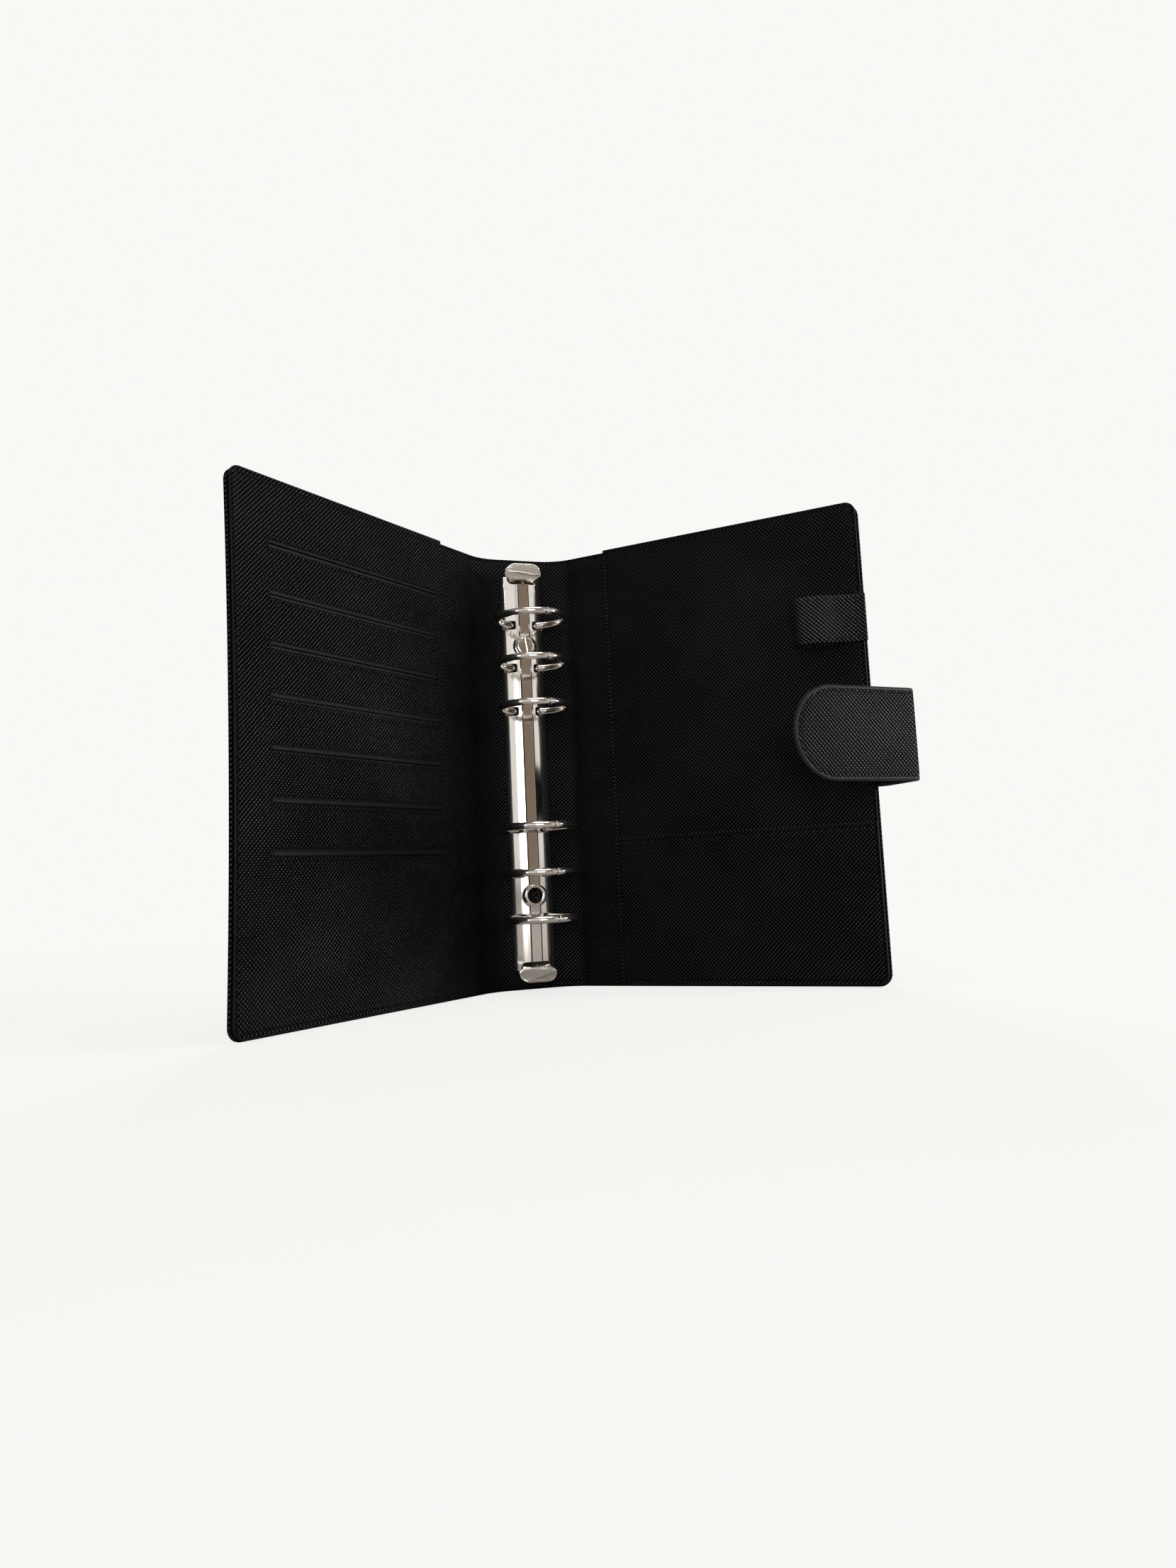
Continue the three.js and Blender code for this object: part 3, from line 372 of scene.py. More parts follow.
def cross_grain(tree, pitch):
    """Height of the pressed grain: diagonal ridges, cut across into small beads."""
    uv = add(tree, "ShaderNodeUVMap", uv_map="grain").outputs[0]
    drift = add(tree, "ShaderNodeTexNoise", {"Vector": uv, "Scale": 230.0, "Detail": 2.0})
    shift = add(
        tree, "ShaderNodeVectorMath",
        {0: drift.outputs["Color"], 1: (0.5, 0.5, 0.5)},
        operation="SUBTRACT",
    )
    moved = add(
        tree, "ShaderNodeVectorMath",
        {0: shift.outputs[0], 1: (0.0004, 0.0004, 0.0), 2: uv},
        operation="MULTIPLY_ADD",
    )
    count = 1 / pitch
    turned = add(
        tree, "ShaderNodeMapping",
        {"Vector": moved.outputs[0], "Rotation": (0, 0, math.radians(45)), "Scale": (count, count, 1)},
    )
    parts = add(tree, "ShaderNodeSeparateXYZ", {0: turned.outputs[0]})
    along, across = (
        maths(tree, "ABSOLUTE", maths(tree, "SINE", maths(tree, "MULTIPLY", parts.outputs[axis], math.pi)))
        for axis in (0, 1)
    )
    depth = scaled(tree, noise(tree, uv, 24.0, 1.0), 0.35, 0.65, 0.4, 0.7)
    cuts = maths(tree, "MULTIPLY", maths(tree, "SUBTRACT", 1.0, maths(tree, "POWER", across, 0.7)), depth)
    ridge = maths(tree, "POWER", along, 0.8)
    return maths(tree, "MULTIPLY", ridge, maths(tree, "SUBTRACT", 1.0, cuts)), uv


def leather(name, groove_shade, glint, shine, depth):
    """Coated leather: the grain's crests are coloured lighter as a painted glint and its valleys darker as
    painted shade, and the crests shine.
    """
    material, tree, shader = new_material(name)
    height, uv = cross_grain(tree, GRAIN_PITCH)
    patches = scaled(tree, noise(tree, uv, 60.0, 4.0), 0.3, 0.7, 0.94, 1.06)
    glint_share = maths(tree, "MULTIPLY", height, patches)
    # The colour runs from the painted shade of the valleys to the painted glint of the crests.
    colour = ramp(tree, glint_share, [(0.45, groove_shade), (0.9, glint)])
    relief = maths(tree, "MULTIPLY_ADD", noise(tree, uv, 3200.0, 2.0), 0.16, height)
    feed(tree, shader, {
        "Base Color": colour,
        "Roughness": scaled(tree, glint_share, 0.3, 1.0, 0.5, 0.3),
        "Specular IOR Level": scaled(tree, glint_share, 0.5, 0.9, 0.02, shine),
    })
    press(tree, shader, relief, depth, 1.0)
    return material


def smooth_leather(name, dark, light, gloss):
    """Folded or painted edges, where no grain shows."""
    material, tree, shader = new_material(name)
    cloud = noise(tree, object_place(tree), 420.0, 5.0)
    feed(tree, shader, {
        "Base Color": ramp(tree, cloud, [(0.3, dark), (0.7, light)]),
        "Roughness": scaled(tree, cloud, 0.3, 0.7, gloss + 0.12, gloss),
        "Specular IOR Level": 0.13,
    })
    press(tree, shader, cloud, 0.00004, 0.5)
    return material


def metal(name, dark, light, rough_low, rough_high, stretch, depth):
    material, tree, shader = new_material(name)
    place_at = object_place(tree)
    spread = add(tree, "ShaderNodeMapping", {"Vector": place_at, "Scale": stretch}).outputs[0]
    haze = noise(tree, spread, 1.0, 5.0)
    feed(tree, shader, {
        "Base Color": ramp(tree, haze, [(0.35, dark), (0.65, light)]),
        "Roughness": scaled(tree, haze, 0.35, 0.7, rough_low, rough_high),
        "Metallic": 1.0,
    })
    press(tree, shader, noise(tree, place_at, 45.0, 1.0), depth, 0.35)
    return material


def thread_material():
    material, tree, shader = new_material("black_thread")
    wave = add(tree, "ShaderNodeTexWave", {"Vector": object_place(tree), "Scale": 900.0, "Distortion": 1.5})
    twist = wave.outputs["Fac"]
    colour = ramp(tree, twist, [(0.2, (0.001, 0.001, 0.001)), (0.8, (0.004, 0.004, 0.0045))])
    feed(tree, shader, {"Base Color": colour, "Roughness": 0.6, "Specular IOR Level": 0.15})
    press(tree, shader, twist, 0.00005, 0.6)
    return material


def card_material():
    material, tree, shader = new_material("grey_card")
    fibres = noise(tree, object_place(tree), 900.0, 6.0)
    colour = ramp(tree, fibres, [(0.3, (0.36, 0.34, 0.31)), (0.7, (0.5, 0.48, 0.44))])
    feed(tree, shader, {"Base Color": colour, "Roughness": 0.9})
    press(tree, shader, fibres, 0.00005, 0.4)
    return material


# Each leather's first colour is the painted shade in its grain's valleys and its second the painted glint on
# its crests.
cover_leather = leather(
    "black_cross_grain", (0.0001, 0.0001, 0.0002), (0.0068, 0.0068, 0.0084), 0.2, 0.00028,
)
# The pen loop's leather is the cover's leather with more shine and a lighter colour, painted light for the
# light that the loop catches.
loop_leather = leather(
    "glossy_cross_grain_painted_lit", (0.0003, 0.0003, 0.0004), (0.0125, 0.0125, 0.0145), 0.62, 0.00028,
)
strap_leather = leather(
    "charcoal_cross_grain", (0.0018, 0.0018, 0.0024), (0.0054, 0.0054, 0.0066), 0.1, 0.00016,
)
# Folded edges and slit bands have no grain; their colour is also set lighter as a painted highlight along the
# folds.
folded_leather = smooth_leather("folded_edge", (0.0022, 0.0022, 0.0028), (0.004, 0.004, 0.0048), 0.44)
painted_edge = smooth_leather("painted_edge", (0.009, 0.009, 0.010), (0.013, 0.013, 0.0145), 0.42)
nickel = metal(
    "polished_nickel", (0.80, 0.755, 0.70), (0.87, 0.835, 0.785), 0.09, 0.15, (60, 60, 14), 0.0001,
)
steel = metal("plain_steel", (0.42, 0.42, 0.42), (0.6, 0.6, 0.6), 0.25, 0.4, (900, 900, 40), 0.0001)
thread = thread_material()
card = card_material()


# Mesh making
class Outline:
    """A sheet's edge, flat: from s0 to s1 and z0 to z1, with round corners. An open near edge has no inset,
    and a square top keeps round corners at the bottom only."""

    def __init__(self, s0, s1, z0, z1, far_radius, near_radius=0.0, open_near=False, square_top=False):
        self.s0, self.s1, self.z0, self.z1 = s0, s1, z0, z1
        self.far_radius, self.near_radius, self.open_near = far_radius, near_radius, open_near
        self.square_top = square_top

    def point(self, s, z, inset):
        near = self.s0 + (0 if self.open_near else inset)
        far = self.s1 - inset
        low = self.z0 + inset
        high = self.z1 - inset
        s = near + (s - self.s0) * (far - near) / (self.s1 - self.s0)
        z = low + (z - self.z0) * (high - low) / (self.z1 - self.z0)
        for radius, reach, turn in ((self.far_radius, s - far, 1), (self.near_radius, near - s, -1)):
            radius = max(radius - inset, 0.0) if radius else 0.0
            a = reach + radius
            top = z > (low + high) / 2
            b = (z - high if top else low - z) + radius
            if radius and a > 0 and b > 0 and not (top and self.square_top):
                pull = max(a, b) / math.hypot(a, b)
                s = (far - radius + a * pull) if turn > 0 else (near + radius - a * pull)
                z = (high - radius + b * pull) if top else (low + radius - b * pull)
        return s, z


def link_new(name, data):
    piece = bpy.data.objects.new(name, data)
    bpy.context.scene.collection.objects.link(piece)
    return piece


def mesh_object(name, bm):
    """Turns the bmesh into an object."""
    mesh = bpy.data.meshes.new(name)
    bm.to_mesh(mesh)
    bm.free()
    return link_new(name, mesh)


def shade(mesh, angle):
    """Smooth faces, with sharp edges where they meet at more than the angle in degrees."""
    for polygon in mesh.polygons:
        polygon.use_smooth = True
    mesh.set_sharp_from_angle(angle=math.radians(angle))


def finished(name, bm, materials, slot, grain=None, angle=35):
    """Turns the bmesh into a piece with smooth faces, sharp only at its true edges."""
    bmesh.ops.recalc_face_normals(bm, faces=bm.faces)
    piece = mesh_object(name, bm)
    mesh = piece.data
    shade(mesh, angle)
    if grain:
        layer = mesh.uv_layers.new(name="grain")
        for loop in mesh.loops:
            layer.data[loop.index].uv = grain[loop.vertex_index]
    for material in materials:
        mesh.materials.append(material)
    return piece


def circle(sides):
    turns = [2 * math.pi * n / sides for n in range(sides)]
    return [(math.cos(turn), math.sin(turn)) for turn in turns]


def along_path(path, index):
    """Direction of the path at one of its points."""
    before = Vector(path[max(index - 1, 0)])
    after = Vector(path[min(index + 1, len(path) - 1)])
    return (after - before).normalized()


def bridge(bm, rings):
    """Joins each ring of vertices to the next one."""
    for lower, upper in zip(rings, rings[1:]):
        for n in range(len(lower)):
            m = (n + 1) % len(lower)
            bm.faces.new((lower[n], lower[m], upper[m], upper[n]))


def slab(
    name, outline, s_lines, z_lines, rim, front, back, put, materials, slot, paint=None, bands=(), flip=1,
):
    """A closed sheet on a grid of lines. rim lists (inset, height) from the back face to the front face.
    bands gives the material of each strip between two steps of the rim, and paint that of each front face."""
    bm = bmesh.new()
    grain = []
    cols = len(s_lines)
    rows = len(z_lines)
    ring_keys = [(i, 0) for i in range(cols)] + [(cols - 1, j) for j in range(1, rows)]
    ring_keys += [(i, rows - 1) for i in range(cols - 2, -1, -1)]
    ring_keys += [(0, j) for j in range(rows - 2, 0, -1)]

    def vertex(key, inset, height):
        s, z = outline.point(s_lines[key[0]], z_lines[key[1]], inset)
        u = height(s, z) if callable(height) else height
        grain.append((flip * s * MM, z * MM))
        return bm.verts.new(put(s, u, z))

    rings = [{key: vertex(key, inset, height) for key in ring_keys} for inset, height in rim]
    for step, (lower, upper) in enumerate(zip(rings, rings[1:])):
        for key, following in zip(ring_keys, ring_keys[1:] + ring_keys[:1]):
            face = bm.faces.new((lower[key], lower[following], upper[following], upper[key]))
            face.material_index = bands[step] if step < len(bands) else 0
    for ring, (inset, _), height, is_front in (
        (rings[0], rim[0], back, False), (rings[-1], rim[-1], front, True),
    ):
        grid = dict(ring)
        for i in range(1, cols - 1):
            for j in range(1, rows - 1):
                grid[i, j] = vertex((i, j), inset, height)
        for i in range(cols - 1):
            for j in range(rows - 1):
                corners = [grid[i, j], grid[i + 1, j], grid[i + 1, j + 1], grid[i, j + 1]]
                face = bm.faces.new(corners if is_front else corners[::-1])
                if is_front and paint:
                    middle_s = (s_lines[i] + s_lines[i + 1]) / 2
                    middle_z = (z_lines[j] + z_lines[j + 1]) / 2
                    face.material_index = paint(middle_s, middle_z)
    return finished(name, bm, materials, slot, grain)


def round_rim(inset, low, high, radius_low, radius_high, steps=4):
    """Rim of a sheet with rounded edges, from its back face at low to its front face at high."""
    turns = [math.pi / 2 * i / steps for i in range(steps + 1)]
    quarter = [(1 - math.sin(t), 1 - math.cos(t)) for t in turns]
    rim = [(inset + radius_low * a, low + radius_low * b) for a, b in quarter]
    return rim + [(inset + radius_high * b, high - radius_high * a) for a, b in quarter]


def threads(
    name, runs, put, slot="leather", pitch=STITCH_PITCH, length=STITCH_LENGTH, radius=THREAD_RADIUS,
):
    """Stitches along runs. A run is a list of (s, z) points and the height of the face that they lie on."""
    bm = bmesh.new()
    around = circle(STITCH_SIDES)
    for points, height in runs:
        path = [Vector(p) for p in points]
        gaps = [(b - a).length for a, b in zip(path, path[1:])]
        total = sum(gaps)
        count = max(1, round(total / pitch))
        for k in range(count):
            middle = (k + 0.5) * total / count
            half = length / 2 * (total / count) / pitch
            rings = []
            for along, wide, sink in STITCH_SHAPE:
                at = min(max(middle + along * half, 0.0), total)
                index = 0
                while index < len(gaps) - 1 and at > gaps[index]:
                    at -= gaps[index]
                    index += 1
                direction = (path[index + 1] - path[index]).normalized()
                centre = path[index] + direction * at
                side = Vector((-direction.y, direction.x))
                ring = []
                level = height(*centre) if callable(height) else height
                for across, rise in around:
                    out = centre + side * (radius * wide * across)
                    up = level + radius * (0.35 + sink + wide * rise)
                    ring.append(bm.verts.new(put(out.x, up, out.y)))
                rings.append(ring)
            bridge(bm, rings)
            bm.faces.new(rings[0][::-1])
            bm.faces.new(rings[-1])
    return finished(name, bm, [thread], slot, angle=60)


def across_hinge(piece, side):
    """Bakes the piece's placement into its mesh; the points either side of the hinge are worked out but not
    used.
    """
    start = place(side, HINGE_S - HINGE_BLEND, -HINGE_DEPTH, 0)
    end = place(side, HINGE_S + HINGE_BLEND, -HINGE_DEPTH, 0)
    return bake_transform(piece)


def edge_lines(low, high, marks, spread=(0.0, 0.35, 0.7, 1.2)):
    """Lines close together round each mark, so that a groove there is round."""
    found = [m + side * d for m in marks for d in spread for side in (-1, 1)]
    return [v for v in found if low < v < high]


CORNER_LINES = [CORNER_RADIUS * k / 6 for k in range(7)]


def grid_lines(low, high, step, marks=()):
    corners = [low + d for d in CORNER_LINES] + [high - d for d in CORNER_LINES]
    middle = [v for v in spaced(low, high, step) if low + 5.5 < v < high - 5.5]
    return merged(corners, middle, edge_lines(low + 0.3, high - 0.3, marks))


def groove(distance):
    return STITCH_GROOVE * bump(distance, GROOVE_WIDTH)


def edge_distance(s, z):
    return min(COVER_REACH - s, z, COVER_HEIGHT - z)


# Outer leather and inner lining, each in two halves that meet at the middle of the spine
def make_cover(side):
    prefix = "front" if side == FRONT else "back"
    outline = Outline(0, COVER_REACH, 0, SKIN_TOP, CORNER_RADIUS, open_near=True)
    s_lines = merged(
        spaced(0, SPINE_FLAT_HALF, 3.2), spaced(SPINE_FLAT_HALF, HINGE_S + 6, 1.2),
        grid_lines(HINGE_S + 2, COVER_REACH, 6, [COVER_REACH - STITCH_INSET]),
    )
    z_lines = grid_lines(0, SKIN_TOP, 8, [STITCH_INSET, COVER_HEIGHT - STITCH_INSET])
    rim = round_rim(0, -COVER_DEPTH, LEATHER_LIP, 0.7, 0.45)
    rim += [(0.6, LEATHER_LIP - 0.08), (0.95, LINING_BACK), (2.0, SKIN_FRONT)]

    def outer(s, z):
        return -COVER_DEPTH + groove(edge_distance(s, z) - STITCH_INSET)

    skin = slab(
        f"{prefix}_skin", outline, s_lines, z_lines, rim, SKIN_FRONT, outer,
        on_skin(side), [cover_leather], "leather", flip=side,
    )
    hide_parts(f"{prefix}_leather", "spine_leather")
    across_hinge(skin, side)

    def crease(s, z):
        waver = 0.9 * math.sin(z * 0.075) + 0.5 * math.sin(z * 0.19 + side)
        fold = 0.2 * bump(s - HINGE_S + 0.5 - waver, 1.8) + 0.28 * bump(s - 39 + waver * 0.6, 4.2)
        swell = 0.22 * bump(s - 30 - waver, 4.5) * (0.6 + 0.4 * math.sin(z * 0.13 + 2))
        return swell - fold - groove(edge_distance(s, z) - STITCH_INSET)

    lining_rim = round_rim(LINING_INSET, LINING_BACK, 0.0, 0.05, 0.3)[5:-1]
    lining_rim = [(LINING_INSET, LINING_BACK), *lining_rim, (LINING_INSET + 0.3, crease)]
    lining = slab(
        f"{prefix}_lining", outline, s_lines, z_lines, lining_rim, crease, LINING_BACK,
        on_skin(side), [cover_leather], "leather", flip=side,
    )
    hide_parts(f"{prefix}_liner", "spine_liner")
    across_hinge(lining, side)


def perimeter(start, end, low, high, radius=CORNER_RADIUS - STITCH_INSET):
    """Run along a page's bottom, free and top edges, with its round corners."""
    points = [(start, low), (end - radius, low)]
    points += [
        (end - radius + radius * math.sin(t), low + radius - radius * math.cos(t))
        for t in (math.pi / 6, math.pi / 3, math.pi / 2)
    ]
    points += [
        (end - radius + radius * math.cos(t), high - radius + radius * math.sin(t))
        for t in (0, math.pi / 6, math.pi / 3, math.pi / 2)
    ]
    return [*points, (start, high)]


SLITS = [SLIT_TOP - k * SLIT_PITCH for k in range(SLIT_COUNT)]


def slit_relief(s, z):
    """How the card slits and their seams change the page's height."""
    inside = smooth((s - SLIT_START + 0.3) / 0.6) * smooth((SLIT_END + 0.3 - s) / 0.6)
    change = 0.0
    for at in SLITS:
        above = z - at
        if abs(above) > 5:
            continue
        cut = 1 - smooth((abs(above) - SLIT_HALF_WIDTH * 0.6) / SLIT_HALF_WIDTH)
        change -= inside * SLIT_DEPTH * cut
        change += inside * 0.1 * bump(above - 0.8, 0.5)
        seam = min(abs(above - SLIT_SEAM_ABOVE), abs(above + SLIT_SEAM_BELOW))
        change -= inside * groove(seam)
    return change


def pressed_edge(edge):
    """How far a page's face is pressed down near its edge, with the groove of its seam."""
    inward = smooth((edge - EDGE_PRESS_START) / EDGE_PRESS_WIDTH)
    return groove(edge - STITCH_INSET) + EDGE_PRESS * (1 - inward)


def page_height(start, top, sewn_fold):
    """The height of a page's face. A sewn fold has a groove along its inner seam too."""
    def height(s, z):
        fold = groove(s - start - STITCH_INSET + INNER_SEAM_SHIFT) if sewn_fold else 0.0
        return top - pressed_edge(edge_distance(s, z)) - fold
    return height


def page_rim(back, front, height):
    """Rim of a page, its last step at the height of its face."""
    rim = round_rim(PAGE_INSET, back, front, 0.1, 0.4)
    return [*rim[:-1], (rim[-1][0], height)]


# The rim's front steps take the folded edge's leather, whose lighter colour is partly a painted highlight
# along the fold.
PAGE_BANDS = [0, 0, 0, 0, 1, 1, 1, 1, 1]


def make_card_page():
    far = COVER_REACH
    outline = Outline(CARD_PAGE_START, far, 0, PAGE_TOP, CORNER_RADIUS, 0.9)
    plain = page_height(CARD_PAGE_START, PAGE_FRONT, False)

    def height(s, z):
        return plain(s, z) + slit_relief(s, z)

    marks = [CARD_PAGE_START + STITCH_INSET - INNER_SEAM_SHIFT, far - STITCH_INSET]
    ends = [end + d for end in (SLIT_START, SLIT_END) for d in (-0.35, 0, 0.35)]
    s_lines = merged(grid_lines(CARD_PAGE_START, far, 3, marks), ends)
    z_lines = grid_lines(0, PAGE_TOP, 4, [STITCH_INSET, COVER_HEIGHT - STITCH_INSET])
    clear = [v for v in z_lines if min(abs(v - at) for at in SLITS) > 3.1]
    z_lines = merged(clear, [at + d for at in SLITS for d in SLIT_LINES])
    rim = page_rim(PAGE_BACK, PAGE_FRONT, height)

    def paint(s, z):
        above = min((z - at for at in SLITS), key=abs)
        return 1 if SLIT_START < s < SLIT_END and -0.45 < above < SLIT_SEAM_ABOVE - 0.35 else 0

    page = slab(
        "card_page", outline, s_lines, z_lines, rim, height, PAGE_BACK,
        on_skin(FRONT), [cover_leather, folded_leather], "leather",
        paint=paint, bands=PAGE_BANDS, flip=FRONT,
    )
    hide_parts("card_panel")
    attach(page, "front_cover")
    runs = []
    for at in SLITS:
        low = at - SLIT_SEAM_BELOW
        high = at + SLIT_SEAM_ABOVE
        runs += [
            ([(SLIT_START, high), (SLIT_END, high)], height),
            ([(SLIT_START, low), (SLIT_END, low)], height),
            ([(SLIT_START, low), (SLIT_START, low + 1.4)], height),
            ([(SLIT_END, low), (SLIT_END, high)], height),
        ]
    low, high, edge = STITCH_INSET, COVER_HEIGHT - STITCH_INSET, far - STITCH_INSET
    runs.append((perimeter(CARD_PAGE_START + 1, edge, low, high), height))
    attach(threads("card_page_stitches", runs, on_skin(FRONT)), "front_cover")


def pocket_swell(s, z):
    """How far the pocket's mouth stands away from the page."""
    return 0.9 * bump(s - 82, 24) * smooth((z - 44) / 19)


def make_back_page():
    far = COVER_REACH
    outline = Outline(BACK_PAGE_START, far, 0, PAGE_TOP, CORNER_RADIUS, 0.9)
    height = page_height(BACK_PAGE_START, PAGE_FRONT, True)
    inner = BACK_PAGE_START + STITCH_INSET - INNER_SEAM_SHIFT
    s_lines = grid_lines(BACK_PAGE_START, far, 6, [inner, far - STITCH_INSET])
    z_lines = grid_lines(0, PAGE_TOP, 6, [STITCH_INSET, COVER_HEIGHT - STITCH_INSET])
    page = slab(
        "back_page", outline, s_lines, z_lines, page_rim(PAGE_BACK, PAGE_FRONT, height), height, PAGE_BACK,
        on_skin(BACK), [cover_leather, folded_leather], "leather", bands=PAGE_BANDS,
    )
    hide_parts("back_panel")
    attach(page, "back_cover")

    pocket_top = POCKET_HEIGHT + PAGE_INSET
    pocket_outline = Outline(BACK_PAGE_START, far, 0, pocket_top, CORNER_RADIUS, 0.6, square_top=True)

    def pocket(s, z):
        low = pressed_edge(min(far - s, z)) + groove(s - inner) + groove(z - POCKET_SEAM_Z)
        return POCKET_FRONT - low + pocket_swell(s, z)

    def pocket_behind(s, z):
        return POCKET_BACK + 0.95 * pocket_swell(s, z)

    pocket_lines = grid_lines(0, pocket_top, 4, [STITCH_INSET, POCKET_SEAM_Z])
    pocket_rim = page_rim(POCKET_BACK, POCKET_FRONT, pocket)
    piece = slab(
        "pocket", pocket_outline, s_lines, pocket_lines, pocket_rim, pocket, pocket_behind,
        on_skin(BACK), [cover_leather, folded_leather], "leather", bands=PAGE_BANDS,
    )
    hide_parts("lower_pocket")
    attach(piece, "back_cover")

    low, high, edge = STITCH_INSET, COVER_HEIGHT - STITCH_INSET, far - STITCH_INSET
    corner = CORNER_RADIUS - STITCH_INSET
    start = BACK_PAGE_START + 1
    upper = [(edge, POCKET_HEIGHT), (edge, high - corner), (edge - corner, high), (start, high)]
    lower = [(start, low), (edge - corner, low), (edge, low + corner), (edge, POCKET_HEIGHT)]
    runs = [
        (upper, height), (lower, pocket),
        ([(inner, low), (inner, POCKET_HEIGHT)], pocket),
        ([(inner, POCKET_HEIGHT), (inner, high)], height),
        ([(inner, POCKET_SEAM_Z), (edge, POCKET_SEAM_Z)], pocket),
    ]
    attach(threads("back_page_stitches", runs, on_skin(BACK)), "back_cover")


def make_outer_stitches(side):
    """The same seams on the outer face, and on the lining between the pages."""
    prefix = "front" if side == FRONT else "back"
    low, high, edge = STITCH_INSET, COVER_HEIGHT - STITCH_INSET, COVER_REACH - STITCH_INSET
    outer = -COVER_DEPTH + STITCH_GROOVE - 0.14
    page_start = CARD_PAGE_START if side == FRONT else BACK_PAGE_START
    inner = -STITCH_GROOVE
    runs = [
        (perimeter(0.3, edge, low, high), outer),
        ([(0.3, low), (page_start - 0.5, low)], inner),
        ([(0.3, high), (page_start - 0.5, high)], inner),
    ]
    piece = threads(f"{prefix}_seam", runs, on_skin(side))
    across_hinge(piece, side)


def make_front_board():
    """The front cover's board, bowed with the cover."""
    outline = Outline(BOARD_START, BOARD_END, BOARD_INSET, COVER_HEIGHT - BOARD_INSET, 1.7, 1.7)
    s_lines = merged(spaced(BOARD_START, BOARD_END, 8), [BOARD_START + 0.8, BOARD_END - 0.8])
    z_lines = spaced(BOARD_INSET, COVER_HEIGHT - BOARD_INSET, 8)
    z_lines = merged(z_lines, [BOARD_INSET + 0.8, COVER_HEIGHT - BOARD_INSET - 0.8])
    rim = [(0, BOARD_BACK), (0, BOARD_FRONT)]
    board = slab(
        "bowed_board", outline, s_lines, z_lines, rim, BOARD_FRONT, BOARD_BACK,
        on_skin(FRONT), [card], "card_board",
    )
    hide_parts("front_board")
    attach(board, "front_cover")


# Strips swept along a path in the cover's section
def strip(name, path, low, high, thickness, put, materials, slot):
    """A closed band with round long edges. path lists (s, u) along the middle of its thickness."""
    bm = bmesh.new()
    grain = []
    half = thickness / 2
    turns = spaced(0, math.pi, math.pi / 4)
    section = [(low + half - half * math.sin(t), -half * math.cos(t)) for t in turns]
    levels = spaced(low + half, high - half, 2.4)
    section += [(z, half) for z in levels[1:-1]]
    section += [(high - half + half * math.sin(t), half * math.cos(t)) for t in turns]
    section += [(z, -half) for z in levels[-2:0:-1]]
    rings = []
    travelled = 0.0
    for index, (s, u) in enumerate(path):
        direction = along_path(path, index)
        normal = Vector((-direction.y, direction.x))
        if index:
            travelled += (Vector(path[index]) - Vector(path[index - 1])).length
        ring = []
        for z, out in section:
            ring.append(bm.verts.new(put(s + normal.x * out, u + normal.y * out, z)))
            grain.append((travelled * MM, z * MM))
        rings.append(ring)
    bridge(bm, rings)
    bm.faces.new(rings[0])
    bm.faces.new(rings[-1][::-1])
    return finished(name, bm, materials, slot, grain)


def curve_through(points, steps=10):
    """Catmull-Rom curve through the points."""
    path = []
    for i in range(len(points) - 1):
        p0 = Vector(points[max(i - 1, 0)])
        p1 = Vector(points[i])
        p2 = Vector(points[i + 1])
        p3 = Vector(points[min(i + 2, len(points) - 1)])
        for k in range(steps):
            t = k / steps
            path.append(0.5 * (
                2 * p1 + (p2 - p0) * t + (2 * p0 - 5 * p1 + 4 * p2 - p3) * t * t
                + (3 * p1 - p0 - 3 * p2 + p3) * t * t * t
            ))
    path.append(Vector(points[-1]))
    return [tuple(p) for p in path]


def make_pen_loop():
    half = LOOP_THICKNESS / 2
    seat = PAGE_FRONT + 0.05 + half
    tip = COVER_REACH + LOOP_OVERHANG - 0.3
    seam = COVER_REACH - LOOP_SEAM
    radius = LOOP_RISE / 2 - half
    fold_s = COVER_REACH - LOOP_REACH + LOOP_RISE / 2
    centre = seat + radius
    round_fold = [
        (fold_s - radius * math.sin(t), centre + radius * math.cos(t))
        for t in spaced(0, math.pi, math.pi / 14)
    ]
    crown = fold_s + radius + 1
    over = curve_through([
        (tip, seat + LOOP_THICKNESS), (seam + 1.0, seat + LOOP_THICKNESS),
        (seam - 5.5, seat + 4.1), (crown + 1.5, centre + radius - 0.9), (fold_s + 0.4, centre + radius),
    ], 8)
    path = over + round_fold[1:] + [(fold_s + 8, seat), (seam, seat), (tip, seat)]
    loop = strip(
        "leather_pen_loop", path, LOOP_BOTTOM, LOOP_TOP, LOOP_THICKNESS,
        on_skin(BACK), [loop_leather], "leather",
    )
    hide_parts("pen_loop")
    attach(loop, "back_cover")
    section = curve_through([(s, u + half) for s, u in over], 2)

    def top(s, z):
        nearest = min(section, key=lambda p: abs(p[0] - s))
        return nearest[1] - 0.06

    low, high, across = LOOP_BOTTOM + LOOP_SIDE_SEAM, LOOP_TOP - LOOP_SIDE_SEAM, COVER_REACH - LOOP_END_SEAM
    runs = [([(tip - 1.4, z), (fold_s + 1, z)], top) for z in (low, high)]
    runs.append(([(across, low), (across, high)], top))
    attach(threads("pen_loop_stitches", runs, on_skin(BACK)), "back_cover")


# Closure strap: one band from its sewn end, round the cover's edge, over the bridge and the fold, to the tip
STRAP_LEGS = [
    STRAP_SEWN_LENGTH,
    STRAP_BEND_RADIUS * STRAP_BEND_ANGLE,
    STRAP_BRIDGE - STRAP_FOLD_RADIUS * math.tan(STRAP_FOLD_ANGLE / 2),
    STRAP_FOLD_RADIUS * STRAP_FOLD_ANGLE,
    STRAP_FLAP - STRAP_FOLD_RADIUS * math.tan(STRAP_FOLD_ANGLE / 2),
]
STRAP_TOTAL = sum(STRAP_LEGS)
STRAP_FOLD_AT = sum(STRAP_LEGS[:3])


